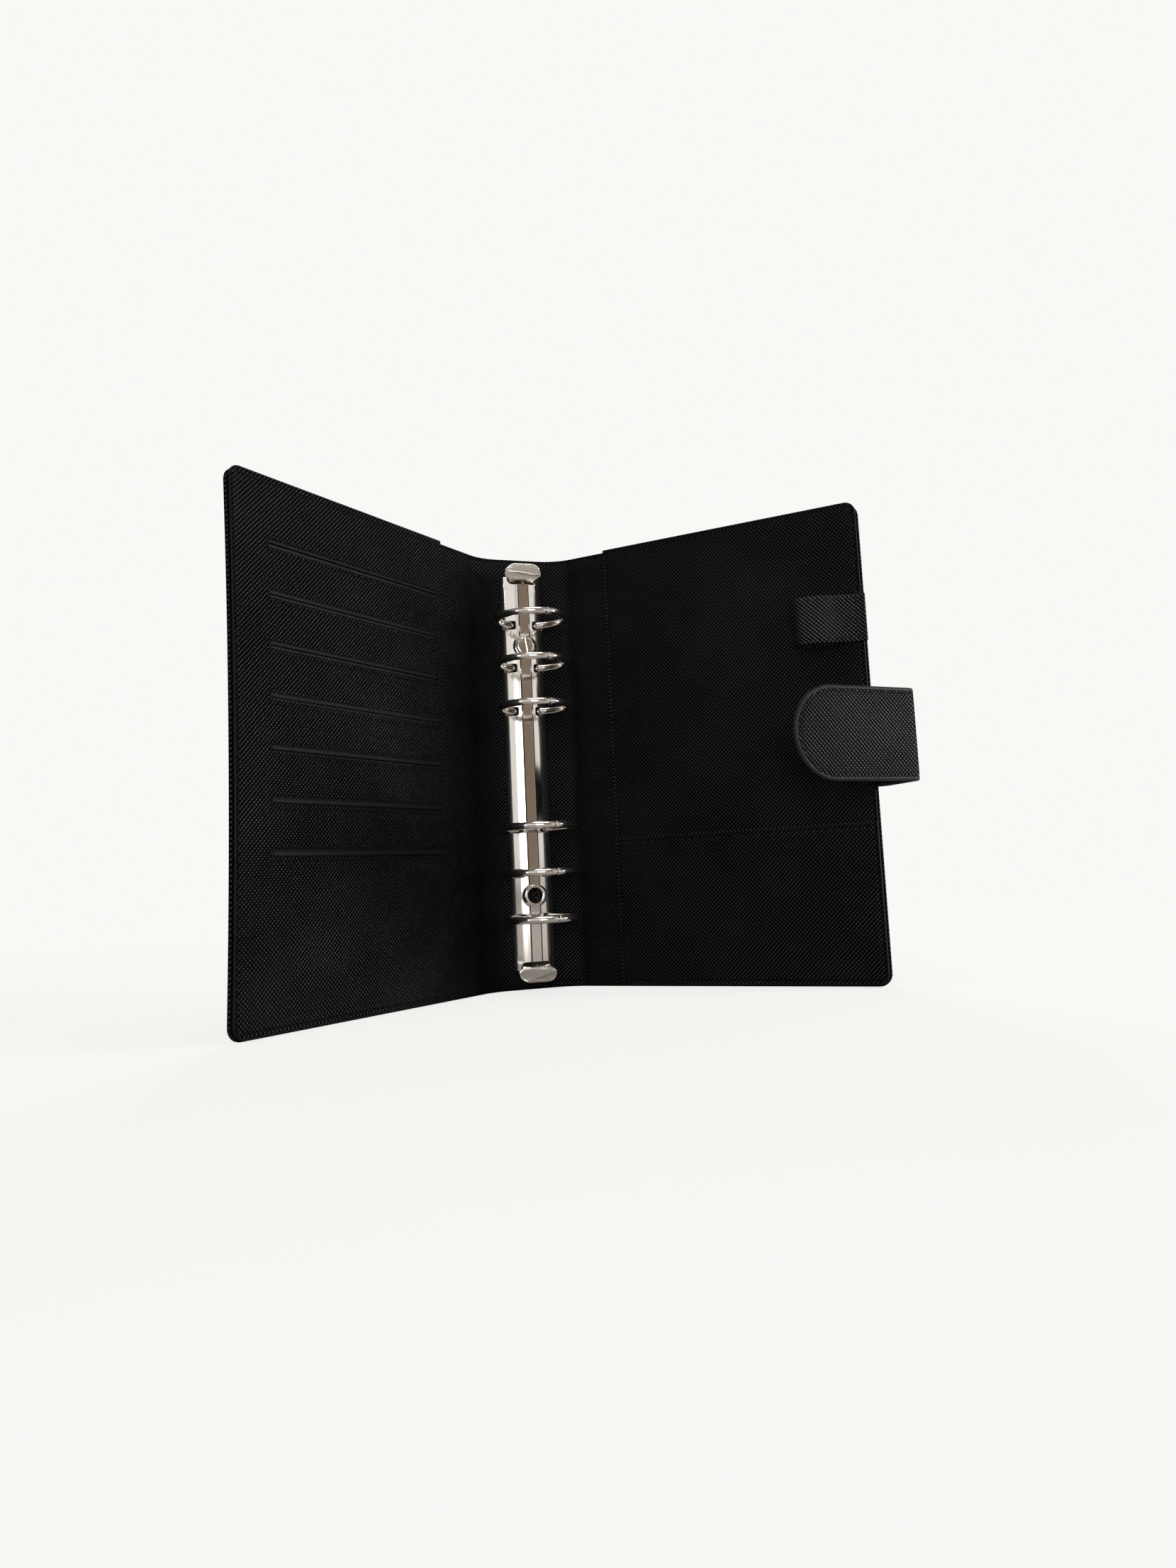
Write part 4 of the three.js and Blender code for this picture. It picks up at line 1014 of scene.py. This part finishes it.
def strap_point(t, out):
    """Section of the strap: t along its inner face, out away from the side that faces the cover."""
    s = COVER_REACH - STRAP_SEWN_LENGTH
    u = -COVER_DEPTH - 0.1
    turn = 0.0
    turns = (0.0, STRAP_BEND_ANGLE, 0.0, STRAP_FOLD_ANGLE, 0.0)
    left = t
    for index, (leg, bend) in enumerate(zip(STRAP_LEGS, turns)):
        last = index == len(STRAP_LEGS) - 1
        part = left if last else min(left, leg)
        if bend:
            radius = leg / bend
            swing = part / radius
            s += radius * (math.sin(turn + swing) - math.sin(turn))
            u += radius * (math.cos(turn) - math.cos(turn + swing))
            turn += swing
        else:
            s += part * math.cos(turn)
            u += part * math.sin(turn)
        left -= part
        if left <= 0:
            break
    return s + out * math.sin(turn), u - out * math.cos(turn)


def on_strap(t, out, z):
    s, u = strap_point(t, out)
    x, y = cover_point(BACK, s, u)
    return Vector((x, y, z)) * MM


def at_strap_fold(piece):
    start = on_strap(STRAP_FOLD_AT - 2.5, STRAP_THICKNESS / 2, 0)
    end = on_strap(STRAP_FOLD_AT + STRAP_LEGS[3] + 2.5, STRAP_THICKNESS / 2, 0)
    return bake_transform(piece)


def strap_edge(t, z):
    """Distance from the strap's edge."""
    radius = STRAP_WIDTH / 2
    middle = STRAP_BOTTOM + radius
    if t > STRAP_TOTAL - radius:
        return radius - math.hypot(t - STRAP_TOTAL + radius, z - middle)
    return min(z - STRAP_BOTTOM, STRAP_BOTTOM + STRAP_WIDTH - z, t)


def make_strap():
    radius = STRAP_WIDTH / 2
    top = STRAP_BOTTOM + STRAP_WIDTH
    outline = Outline(0, STRAP_TOTAL, STRAP_BOTTOM, top, radius - 0.01, 1.0)
    tip_lines = [STRAP_TOTAL - radius * (1 - k / 14) for k in range(15)]
    bend = [STRAP_LEGS[0] + STRAP_LEGS[1] * k / 8 for k in range(9)]
    fold = [STRAP_FOLD_AT + STRAP_LEGS[3] * k / 10 for k in range(11)]
    t_lines = merged(spaced(0, STRAP_TOTAL - radius, 4), bend, fold, tip_lines)
    z_lines = merged([STRAP_BOTTOM + radius * (1 + k / 14) for k in range(-14, 15)])

    def outer(t, z):
        edge = strap_edge(t, z)
        return STRAP_THICKNESS - 0.2 * bump(edge - STRAP_SEAM, 0.6)

    def inner(t, z):
        return 0.16 * bump(strap_edge(t, z) - STRAP_SEAM, 0.6)

    thick = STRAP_THICKNESS
    rim = [
        (2.6, inner), (STRAP_SEAM, inner), (STRAP_BAND, 0.06), (0.55, 0.1), (0.2, 0.28), (0.02, 0.65),
        (0.0, thick / 2), (0.02, thick - 0.65), (0.2, thick - 0.28), (0.55, thick - 0.1),
        (STRAP_BAND, thick - 0.06), (STRAP_SEAM, outer), (2.6, outer),
    ]
    bands = [0, 0, 1, 1, 1, 1, 1, 1, 1, 1, 0, 0]
    strap = slab(
        "strap", outline, t_lines, z_lines, rim, outer, inner, on_strap,
        [strap_leather, painted_edge], "strap_leather", bands=bands,
    )
    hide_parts("strap_base", "strap_flap")
    at_strap_fold(strap)

    seam = STRAP_SEAM
    turn_radius = radius - seam
    round_end = [
        (STRAP_TOTAL - radius + turn_radius * math.sin(a), STRAP_BOTTOM + radius - turn_radius * math.cos(a))
        for a in spaced(0, math.pi, math.pi / 24)
    ]
    run = [(seam, top - seam), (seam, STRAP_BOTTOM + seam), *round_end, (seam, top - seam)]
    stitches = threads(
        "strap_stitches", [(run, STRAP_THICKNESS - 0.12), (run, -0.1)], on_strap, "strap_leather",
        pitch=2.7, length=2.0, radius=0.2,
    )
    at_strap_fold(stitches)


def turned(name, profile, axis_point, axis, material, slot, sides=48, cutter=None):
    """A turned piece. profile lists (radius, height), closed on the axis or on itself."""
    bm = bmesh.new()
    rings = []
    for radius, height in profile:
        if radius < 1e-6:
            rings.append([bm.verts.new((0, 0, height * MM))] * sides)
            continue
        rings.append([
            bm.verts.new((radius * x * MM, radius * y * MM, height * MM)) for x, y in circle(sides)
        ])
    pairs = list(zip(rings, rings[1:]))
    if profile[0][0] > 1e-6 and profile[-1][0] > 1e-6:
        pairs.append((rings[-1], rings[0]))
    for lower, upper in pairs:
        for n in range(sides):
            m = (n + 1) % sides
            corners = []
            for v in (lower[n], lower[m], upper[m], upper[n]):
                if v not in corners:
                    corners.append(v)
            bm.faces.new(corners)
    turn = Vector((0, 0, 1)).rotation_difference(Vector(axis)).to_matrix().to_4x4()
    bmesh.ops.transform(bm, matrix=Matrix.Translation(Vector(axis_point) * MM) @ turn, verts=bm.verts)
    piece = finished(name, bm, [material], slot)
    if cutter:
        cut(piece, cutter)
    return piece


def cut(piece, cutter):
    """Takes the cutter's shape out of the piece, and deletes the cutter."""
    modifier = piece.modifiers.new("cut", "BOOLEAN")
    modifier.operation = "DIFFERENCE"
    modifier.solver = "EXACT"
    modifier.object = cutter
    bpy.context.view_layer.update()
    evaluated = piece.evaluated_get(bpy.context.evaluated_depsgraph_get())
    mesh = bpy.data.meshes.new_from_object(evaluated)
    piece.modifiers.clear()
    old = piece.data
    piece.data = mesh
    bpy.data.meshes.remove(old)
    bpy.data.objects.remove(cutter)
    shade(mesh, 30)


def prism(bm, x_low, x_high, z_low, z_high, y_low, y_high, corner=0.0, steps=4):
    """Adds a block along Y, its corners round in X and Z, to the bmesh."""
    outline = []
    for cx, cz, start in (
        (x_high - corner, z_high - corner, 0), (x_low + corner, z_high - corner, 1),
        (x_low + corner, z_low + corner, 2), (x_high - corner, z_low + corner, 3),
    ):
        for k in range(steps + 1 if corner else 1):
            turn = math.pi / 2 * (start + (k / steps if corner else 0))
            outline.append((cx + corner * math.cos(turn), cz + corner * math.sin(turn)))
    near, far = ([bm.verts.new((x * MM, y * MM, z * MM)) for x, z in outline] for y in (y_low, y_high))
    bm.faces.new(near)
    bm.faces.new(far[::-1])
    for n in range(len(outline)):
        m = (n + 1) % len(outline)
        bm.faces.new((near[n], far[n], far[m], near[m]))


def cutter_from(bm):
    bmesh.ops.recalc_face_normals(bm, faces=bm.faces)
    return mesh_object("cutter", bm)


# Ring mechanism
def flank_height(x):
    """Height of the plate's flank, which falls gently at first and then turns down in a round shoulder."""
    height = PLATE_HEIGHT - RIDGE_STEP
    at = RIDGE_HALF_WIDTH
    while at < min(x, SHOULDER_START) - 1e-6:
        step = min(0.1, min(x, SHOULDER_START) - at)
        share = (at + step / 2 - RIDGE_HALF_WIDTH) / (SHOULDER_START - RIDGE_HALF_WIDTH)
        slope = FLANK_SLOPE_TOP + (FLANK_SLOPE_LOW - FLANK_SLOPE_TOP) * share ** 1.5
        height -= step * math.tan(slope)
        at += step
    if x > SHOULDER_START:
        low = math.sin(FLANK_SLOPE_LOW)
        radius = (PLATE_HALF_WIDTH - SHOULDER_START) / (1 - low)
        turn = math.asin(min(low + (x - SHOULDER_START) / radius, 1.0))
        height -= radius * (math.cos(FLANK_SLOPE_LOW) - math.cos(turn))
    return height


FLANK_LINES = [0, 0.6, 1.2, 1.6, 1.9, 2.05, 2.2, 2.35, 2.5, 2.65, 2.9, *spaced(3.15, SHOULDER_START, 0.3)]
FLANK_LINES += [
    PLATE_HALF_WIDTH - (PLATE_HALF_WIDTH - SHOULDER_START) * (1 - math.sin(math.pi / 2 * k / 9))
    for k in range(1, 10)
]
FLANK_HEIGHTS = [flank_height(x) for x in FLANK_LINES]


def plate_height(x, plain, z):
    """Height of the plate's face: its ridge and the round pads stand over the flanks, with soft borders."""
    raised = 1 - smooth((x - RIDGE_HALF_WIDTH + 0.25) / 0.6)
    for at in (SCREW_Z, EYELET_Z):
        away = math.hypot(x, z - at)
        raised = max(raised, 1 - smooth((away - PAD_RADIUS) / 0.9))
    end = min(PLATE_TOP - z, z - PLATE_BOTTOM)
    ear = EAR_DIMPLE * (1 - smooth((math.hypot(x - EAR_X, end - EAR_DEPTH) - 0.2) / 1.4))
    return plain + (PLATE_HEIGHT - plain) * raised - ear


def plate_section(z, inset):
    """Half the plate's outline at a height, from the middle of its ridge to its foot: (x, height)."""
    narrow = (PLATE_HALF_WIDTH - inset) / PLATE_HALF_WIDTH
    points = [(x * narrow, plate_height(x, h, z) - inset) for x, h in zip(FLANK_LINES, FLANK_HEIGHTS)]
    points += [(PLATE_HALF_WIDTH - inset, h) for h in (1.1, PLATE_FOOT)]
    return points


def make_plate():
    bm = bmesh.new()
    pads = [at + d for at in (SCREW_Z, EYELET_Z) for d in spaced(-5.6, 5.6, 0.3)]
    fine = 7
    ends = [PLATE_BOTTOM + d for d in spaced(0, fine, 0.35)] + [PLATE_TOP - d for d in spaced(0, fine, 0.35)]
    long = [v for v in spaced(PLATE_BOTTOM, PLATE_TOP, 5) if PLATE_BOTTOM + fine < v < PLATE_TOP - fine]
    z_lines = merged(long, ends, pads)
    rings = []
    for z in z_lines:
        loops = []
        for inset in (0, PLATE_THICKNESS):
            half = plate_section(z, inset)
            full = [(-x, h) for x, h in reversed(half[1:])] + half
            loops.append([bm.verts.new((x * MM, (INNER_Y - h) * MM, z * MM)) for x, h in full])
        rings.append(loops)
    count = len(rings[0][0])
    for (outer_a, inner_a), (outer_b, inner_b) in zip(rings, rings[1:]):
        for n in range(count - 1):
            bm.faces.new((outer_a[n], outer_a[n + 1], outer_b[n + 1], outer_b[n]))
            bm.faces.new((inner_a[n + 1], inner_a[n], inner_b[n], inner_b[n + 1]))
        bm.faces.new((outer_a[0], outer_b[0], inner_b[0], inner_a[0]))
        bm.faces.new((outer_a[-1], inner_a[-1], inner_b[-1], outer_b[-1]))
    for loops in (rings[0], rings[-1]):
        for n in range(count - 1):
            bm.faces.new((loops[0][n], loops[0][n + 1], loops[1][n + 1], loops[1][n]))
    plate = finished("plate", bm, [nickel], "polished_nickel")
    cutters = bmesh.new()
    front = INNER_Y - PLATE_HEIGHT - 1
    for z in RING_HEIGHTS:
        for side in (-1, 1):
            x_low, x_high = sorted((side * NOTCH_INNER, side * NOTCH_OUTER))
            prism(
                cutters, x_low, x_high, z - NOTCH_HEIGHT / 2, z + NOTCH_HEIGHT / 2,
                front, INNER_Y - 2.9, NOTCH_CORNER,
            )
    lip = INNER_Y - PLATE_LIP
    prism(cutters, -MOUTH_HALF, MOUTH_HALF, PLATE_TOP - MOUTH_DEPTH, PLATE_TOP + 4, front, lip, 2.4)
    prism(cutters, -MOUTH_HALF, MOUTH_HALF, PLATE_BOTTOM - 4, PLATE_BOTTOM + MOUTH_DEPTH, front, lip, 2.4)
    for z, radius in ((SCREW_Z, 1.9), (EYELET_Z, 3.85)):
        prism(cutters, -radius, radius, z - radius, z + radius, front, INNER_Y - 5, radius - 0.001, 12)
    cut(plate, cutter_from(cutters))
    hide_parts("ring_plate")
    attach(plate, "spine")


def ring_path(side):
    """Centre line of one ring half, as (x, height) from its foot to the joint near the top."""
    bend_x = RING_FOOT_X + RING_FOOT_BEND
    reach = RING_RADIUS + RING_FOOT_BEND
    meet = math.asin(bend_x / reach)
    bend_height = RING_CENTRE - reach * math.cos(meet)
    path = [(RING_FOOT_X, h) for h in spaced(RING_FOOT_BOTTOM, bend_height, 1.0)]
    for turn in spaced(0, math.pi / 2 - meet, 0.16)[1:]:
        x = bend_x - RING_FOOT_BEND * math.cos(turn)
        path.append((x, bend_height + RING_FOOT_BEND * math.sin(turn)))
    joint = RING_JOINT_ANGLE * side + RING_JOINT_GAP / 2 / RING_RADIUS
    for turn in spaced(meet, math.pi - joint, 0.07)[1:]:
        path.append((RING_RADIUS * math.sin(turn), RING_CENTRE - RING_RADIUS * math.cos(turn)))
    return path


def make_ring_half(side, number, z):
    name = f"ring_{'left' if side < 0 else 'right'}_{number}"
    path = ring_path(side)
    bm = bmesh.new()
    rings = []
    stations = [(p, WIRE_RADIUS) for p in path[:-1]]
    end = Vector(path[-1])
    direction = (end - Vector(path[-2])).normalized()
    for back, radius in (*RING_END, *(RING_PEG if side < 0 else RING_SOCKET)):
        stations.append((tuple(end - direction * back), radius))
    for index, ((x, height), radius) in enumerate(stations):
        along = along_path(path, index) if index < len(path) - 1 else direction
        normal = Vector((-along.y, along.x))
        ring = []
        for across, up in circle(RING_SIDES):
            out = radius * across
            ring.append(bm.verts.new((
                side * (x + normal.x * out) * MM,
                (INNER_Y - height - normal.y * out) * MM,
                (z + radius * up) * MM,
            )))
        rings.append(ring)
    bridge(bm, rings)
    bm.faces.new(rings[0])
    bm.faces.new(rings[-1][::-1])
    piece = finished(f"{name}_wire", bm, [nickel], "polished_nickel", angle=40)
    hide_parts(name)
    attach(piece, "left_rings" if side < 0 else "right_rings")


def make_lever(end):
    name = "lever_top" if end > 0 else "lever_bottom"
    pivot_z = PLATE_TOP - LEVER_PIVOT_INSET if end > 0 else PLATE_BOTTOM + LEVER_PIVOT_INSET
    path = curve_through(LEVER_SIDE_VIEW, 8)
    lengths = [0.0]
    for a, b in zip(path, path[1:]):
        lengths.append(lengths[-1] + (Vector(b) - Vector(a)).length)
    total = lengths[-1]

    def section(t):
        index = max(i for i, at in enumerate(lengths[:-1]) if at <= t + 1e-9)
        share = (t - lengths[index]) / (lengths[index + 1] - lengths[index])
        a = Vector(path[index])
        b = Vector(path[index + 1])
        along = along_path(path, index) * (1 - share) + along_path(path, index + 1) * share
        return a + (b - a) * share, along.normalized()

    neck_at = LEVER_NECK_SHARE * total

    def put(t, out, x):
        centre, along = section(min(max(t, 0.0), total))
        wide = LEVER_NECK_HALF / LEVER_HALF_WIDTH
        wide += (1 - wide) * smooth((t - neck_at) / 2.4)
        reach = centre.x - along.y * out
        height = centre.y + along.x * out
        return Vector((x * wide, INNER_Y - LEVER_PIVOT_HEIGHT - height, pivot_z + end * reach)) * MM

    half = LEVER_THICKNESS / 2
    outline = Outline(0, total, -LEVER_HALF_WIDTH, LEVER_HALF_WIDTH, LEVER_CORNER, 1.2)
    t_lines = merged(spaced(0, total, 0.7), [total - LEVER_CORNER * k / 6 for k in range(7)])
    x_lines = merged(
        spaced(-LEVER_HALF_WIDTH, LEVER_HALF_WIDTH, 1.7),
        [side * (LEVER_HALF_WIDTH - LEVER_CORNER * k / 6) for k in range(7) for side in (-1, 1)],
    )

    def dish(s, z):
        return half - LEVER_DISH * smooth((s - neck_at) / 3) * (1 - (z / LEVER_HALF_WIDTH) ** 2)

    rim = round_rim(0, -half, half, 0.5, 0.5, 5)
    lever = slab(
        f"{name}_tab", outline, t_lines, x_lines, rim, dish, -half, put, [nickel], "polished_nickel",
    )
    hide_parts(name)
    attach(lever, "top_lever" if end > 0 else "bottom_lever")


def make_fasteners():
    face = INNER_Y - PLATE_HEIGHT
    cutter = bmesh.new()
    prism(cutter, -0.4, 0.4, -6, 6, -2, -0.75)
    tilt = Matrix.Translation(Vector((0, face, SCREW_Z)) * MM) @ Matrix.Rotation(SCREW_TURN, 4, "Y")
    bmesh.ops.transform(cutter, matrix=tilt, verts=cutter.verts)
    screw = turned(
        "slotted_screw", SCREW_PROFILE, (0, face, SCREW_Z), (0, -1, 0), nickel, "polished_nickel",
        64, cutter_from(cutter),
    )
    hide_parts("plate_screw")
    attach(screw, "spine")
    eyelet = turned(
        "rolled_eyelet", EYELET_PROFILE, (0, face, EYELET_Z), (0, -1, 0), nickel, "polished_nickel", 64,
    )
    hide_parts("plate_eyelet")
    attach(eyelet, "spine")


def make_snaps():
    along = STRAP_FOLD_AT + STRAP_LEGS[3] / 2 + SNAP_FROM_FOLD
    middle = STRAP_BOTTOM + STRAP_WIDTH / 2
    seat = on_strap(along, 0.0, middle) / MM
    out = (on_strap(along, -1.0, middle) / MM - seat).normalized()
    flap_snap = turned("flap_snap", SNAP_PROFILE, seat, out, steel, "plain_steel")
    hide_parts("strap_snap")
    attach(flap_snap, "strap")
    snap_s = COVER_REACH - SNAP_FROM_EDGE
    at = place(FRONT, snap_s, -COVER_DEPTH, middle) / MM
    away = (place(FRONT, snap_s, -COVER_DEPTH - 1, middle) / MM - at).normalized()
    cover_snap = turned("cover_snap", SNAP_PROFILE, at, away, steel, "plain_steel")
    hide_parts("front_snap")
    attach(cover_snap, "front_cover")


def dress_kept_nodes():
    looks = {"plain_steel": steel, "card_board": card, "polished_nickel": nickel, "leather": cover_leather}
    slots = {part["node"]: part["material_slot"] for part in frame["record"]["subparts"]}
    for name, node in frame["nodes"].items():
        node.data.materials.clear()
        node.data.materials.append(looks.get(slots.get(name), strap_leather))


for cover in (FRONT, BACK):
    make_cover(cover)
    make_outer_stitches(cover)
make_front_board()
make_card_page()
make_back_page()
make_pen_loop()
make_strap()
make_plate()
for ring_number, ring_z in enumerate(RING_HEIGHTS, 1):
    for ring_side in (-1, 1):
        make_ring_half(ring_side, ring_number, ring_z)
make_lever(1)
make_lever(-1)
make_fasteners()
make_snaps()
dress_kept_nodes()

# Stage
BACKDROP = (0.947, 0.939, 0.922)

# Colours of the room round the binder, by degrees from the reader's side
DIM = (0.16, 0.155, 0.15)
GREY = (0.5, 0.5, 0.5)
WHITE = (1.12, 1.11, 1.09)
WARM = (0.30, 0.225, 0.17)
WALLS = (
    (-150, GREY), (-100, DIM), (-66, (0.3, 0.3, 0.3)), (-54, WHITE), (-10, WHITE), (3, WARM),
    (18, WARM), (31, WHITE), (46, WHITE), (58, (0.35, 0.35, 0.35)), (100, DIM), (150, GREY),
)
CEILING = (0.33, 0.31, 0.29)

# Lamps: name, place, target, width, height, power and colour
LAMPS = (
    ("key", (1.0, -0.55, 0.3), (0, -0.05, 0.08), 0.3, 0.3, 9.5, (1.0, 0.99, 0.97)),
    ("fill", (-0.95, -0.5, 0.3), (0, -0.05, 0.09), 0.3, 0.3, 1.5, (0.97, 0.98, 1.0)),
    ("front", (-0.25, -1.0, 0.12), (0, -0.02, 0.08), 0.3, 0.3, 3.2, (1.0, 1.0, 1.0)),
    ("top", (0.0, -0.25, 1.1), (0, -0.05, 0.05), 0.5, 0.4, 3.5, (1.0, 1.0, 1.0)),
    ("back", (0.35, 1.0, 0.75), (0, -0.05, 0.09), 0.5, 0.5, 8.0, (1.0, 1.0, 1.0)),
)


def make_floor():
    bm = bmesh.new()
    bmesh.ops.create_circle(bm, cap_ends=True, radius=12, segments=96)
    bmesh.ops.translate(bm, verts=bm.verts, vec=(0, 0, -0.0002))
    floor = mesh_object("floor", bm)
    material = bpy.data.materials.new("pale_floor")
    material.use_nodes = True
    tree = material.node_tree
    tree.nodes.clear()
    diffuse = add(tree, "ShaderNodeBsdfDiffuse", {"Color": (0.9, 0.89, 0.875, 1)})
    glow = add(tree, "ShaderNodeEmission", {"Color": (*BACKDROP, 1), "Strength": 1.0})
    warm = add(tree, "ShaderNodeBsdfDiffuse", {"Color": (0.46, 0.435, 0.41, 1)})
    place_at = add(tree, "ShaderNodeTexCoord").outputs["Object"]
    away = add(tree, "ShaderNodeVectorMath", {0: place_at}, operation="LENGTH").outputs["Value"]
    share = scaled(tree, away, 0.25, 0.8, 0.84, 1.0)
    seen = add(tree, "ShaderNodeMixShader", {0: share, 1: diffuse.outputs[0], 2: glow.outputs[0]})
    by_camera = add(tree, "ShaderNodeLightPath").outputs["Is Camera Ray"]
    mixed = add(tree, "ShaderNodeMixShader", {0: by_camera, 1: warm.outputs[0], 2: seen.outputs[0]})
    add(tree, "ShaderNodeOutputMaterial", {0: mixed.outputs[0]})
    floor.data.materials.append(material)


def make_world():
    """A light room round the reader's side, with one warm dark panel in it, and a dimmer ceiling and back."""
    world = bpy.data.worlds.new("studio")
    bpy.context.scene.world = world
    world.use_nodes = True
    tree = world.node_tree
    tree.nodes.clear()
    direction = add(tree, "ShaderNodeTexCoord").outputs["Generated"]
    parts = add(tree, "ShaderNodeSeparateXYZ", {0: direction})
    azimuth = maths(tree, "ARCTAN2", parts.outputs[0], maths(tree, "MULTIPLY", parts.outputs[1], -1.0))
    turn = scaled(tree, azimuth, -math.pi, math.pi, 0.0, 1.0)
    walls = ramp(tree, turn, [((degrees + 180) / 360, colour) for degrees, colour in WALLS])
    high = scaled(tree, parts.outputs[2], 0.35, 0.75, 0.0, 1.0)
    room = add(tree, "ShaderNodeMix", {0: high, 6: walls, 7: (*CEILING, 1)}, data_type="RGBA").outputs[2]
    lit = add(tree, "ShaderNodeBackground", {"Color": room, "Strength": 0.75})
    seen = add(tree, "ShaderNodeBackground", {"Color": (*BACKDROP, 1), "Strength": 1.0})
    by_camera = add(tree, "ShaderNodeLightPath").outputs["Is Camera Ray"]
    mixed = add(tree, "ShaderNodeMixShader", {0: by_camera, 1: lit.outputs[0], 2: seen.outputs[0]})
    add(tree, "ShaderNodeOutputWorld", {0: mixed.outputs[0]})


def make_lamp(name, at, target, width, height, power, colour):
    data = bpy.data.lights.new(name, "AREA")
    data.shape = "RECTANGLE"
    data.size = width
    data.size_y = height
    data.energy = power
    data.color = colour
    lamp = link_new(name, data)
    lamp.location = at
    lamp.rotation_mode = "QUATERNION"
    lamp.rotation_quaternion = (Vector(target) - Vector(at)).to_track_quat("-Z", "Y")


# The camera stands where the photograph was taken from: place in millimetres, turn as a rotation vector
CAMERA_PLACE = (-120.3239, -462.5573, 47.0755)
CAMERA_TURN = (-0.1218, -0.338, -0.0284)
FOCAL_PIXELS = 1535.0
CENTRE_PIXEL = (871.15, 1056.77)
PHOTO_SIZE = (1659, 2212)
SENSOR = 36.0


def make_camera():
    data = bpy.data.cameras.new("camera")
    data.sensor_width = SENSOR
    long_side = max(PHOTO_SIZE)
    data.lens = FOCAL_PIXELS / long_side * SENSOR
    data.shift_x = (PHOTO_SIZE[0] / 2 - CENTRE_PIXEL[0]) / long_side
    data.shift_y = (CENTRE_PIXEL[1] - PHOTO_SIZE[1] / 2) / long_side
    data.clip_start = 0.01
    data.clip_end = 50
    camera = link_new("camera", data)
    turn = Vector(CAMERA_TURN)
    rotation = Matrix.Rotation(turn.length, 3, turn.normalized())
    upright = Matrix(((1, 0, 0), (0, 0, -1), (0, 1, 0)))
    axes = rotation @ upright
    right, down, forward = axes[0], axes[1], axes[2]
    matrix = Matrix((right, -down, -forward)).transposed().to_4x4()
    matrix.translation = Vector(CAMERA_PLACE) * MM
    camera.matrix_world = matrix
    bpy.context.scene.camera = camera


make_floor()
make_world()
for lamp_settings in LAMPS:
    make_lamp(*lamp_settings)
make_camera()
bpy.context.scene.view_settings.view_transform = "Standard"
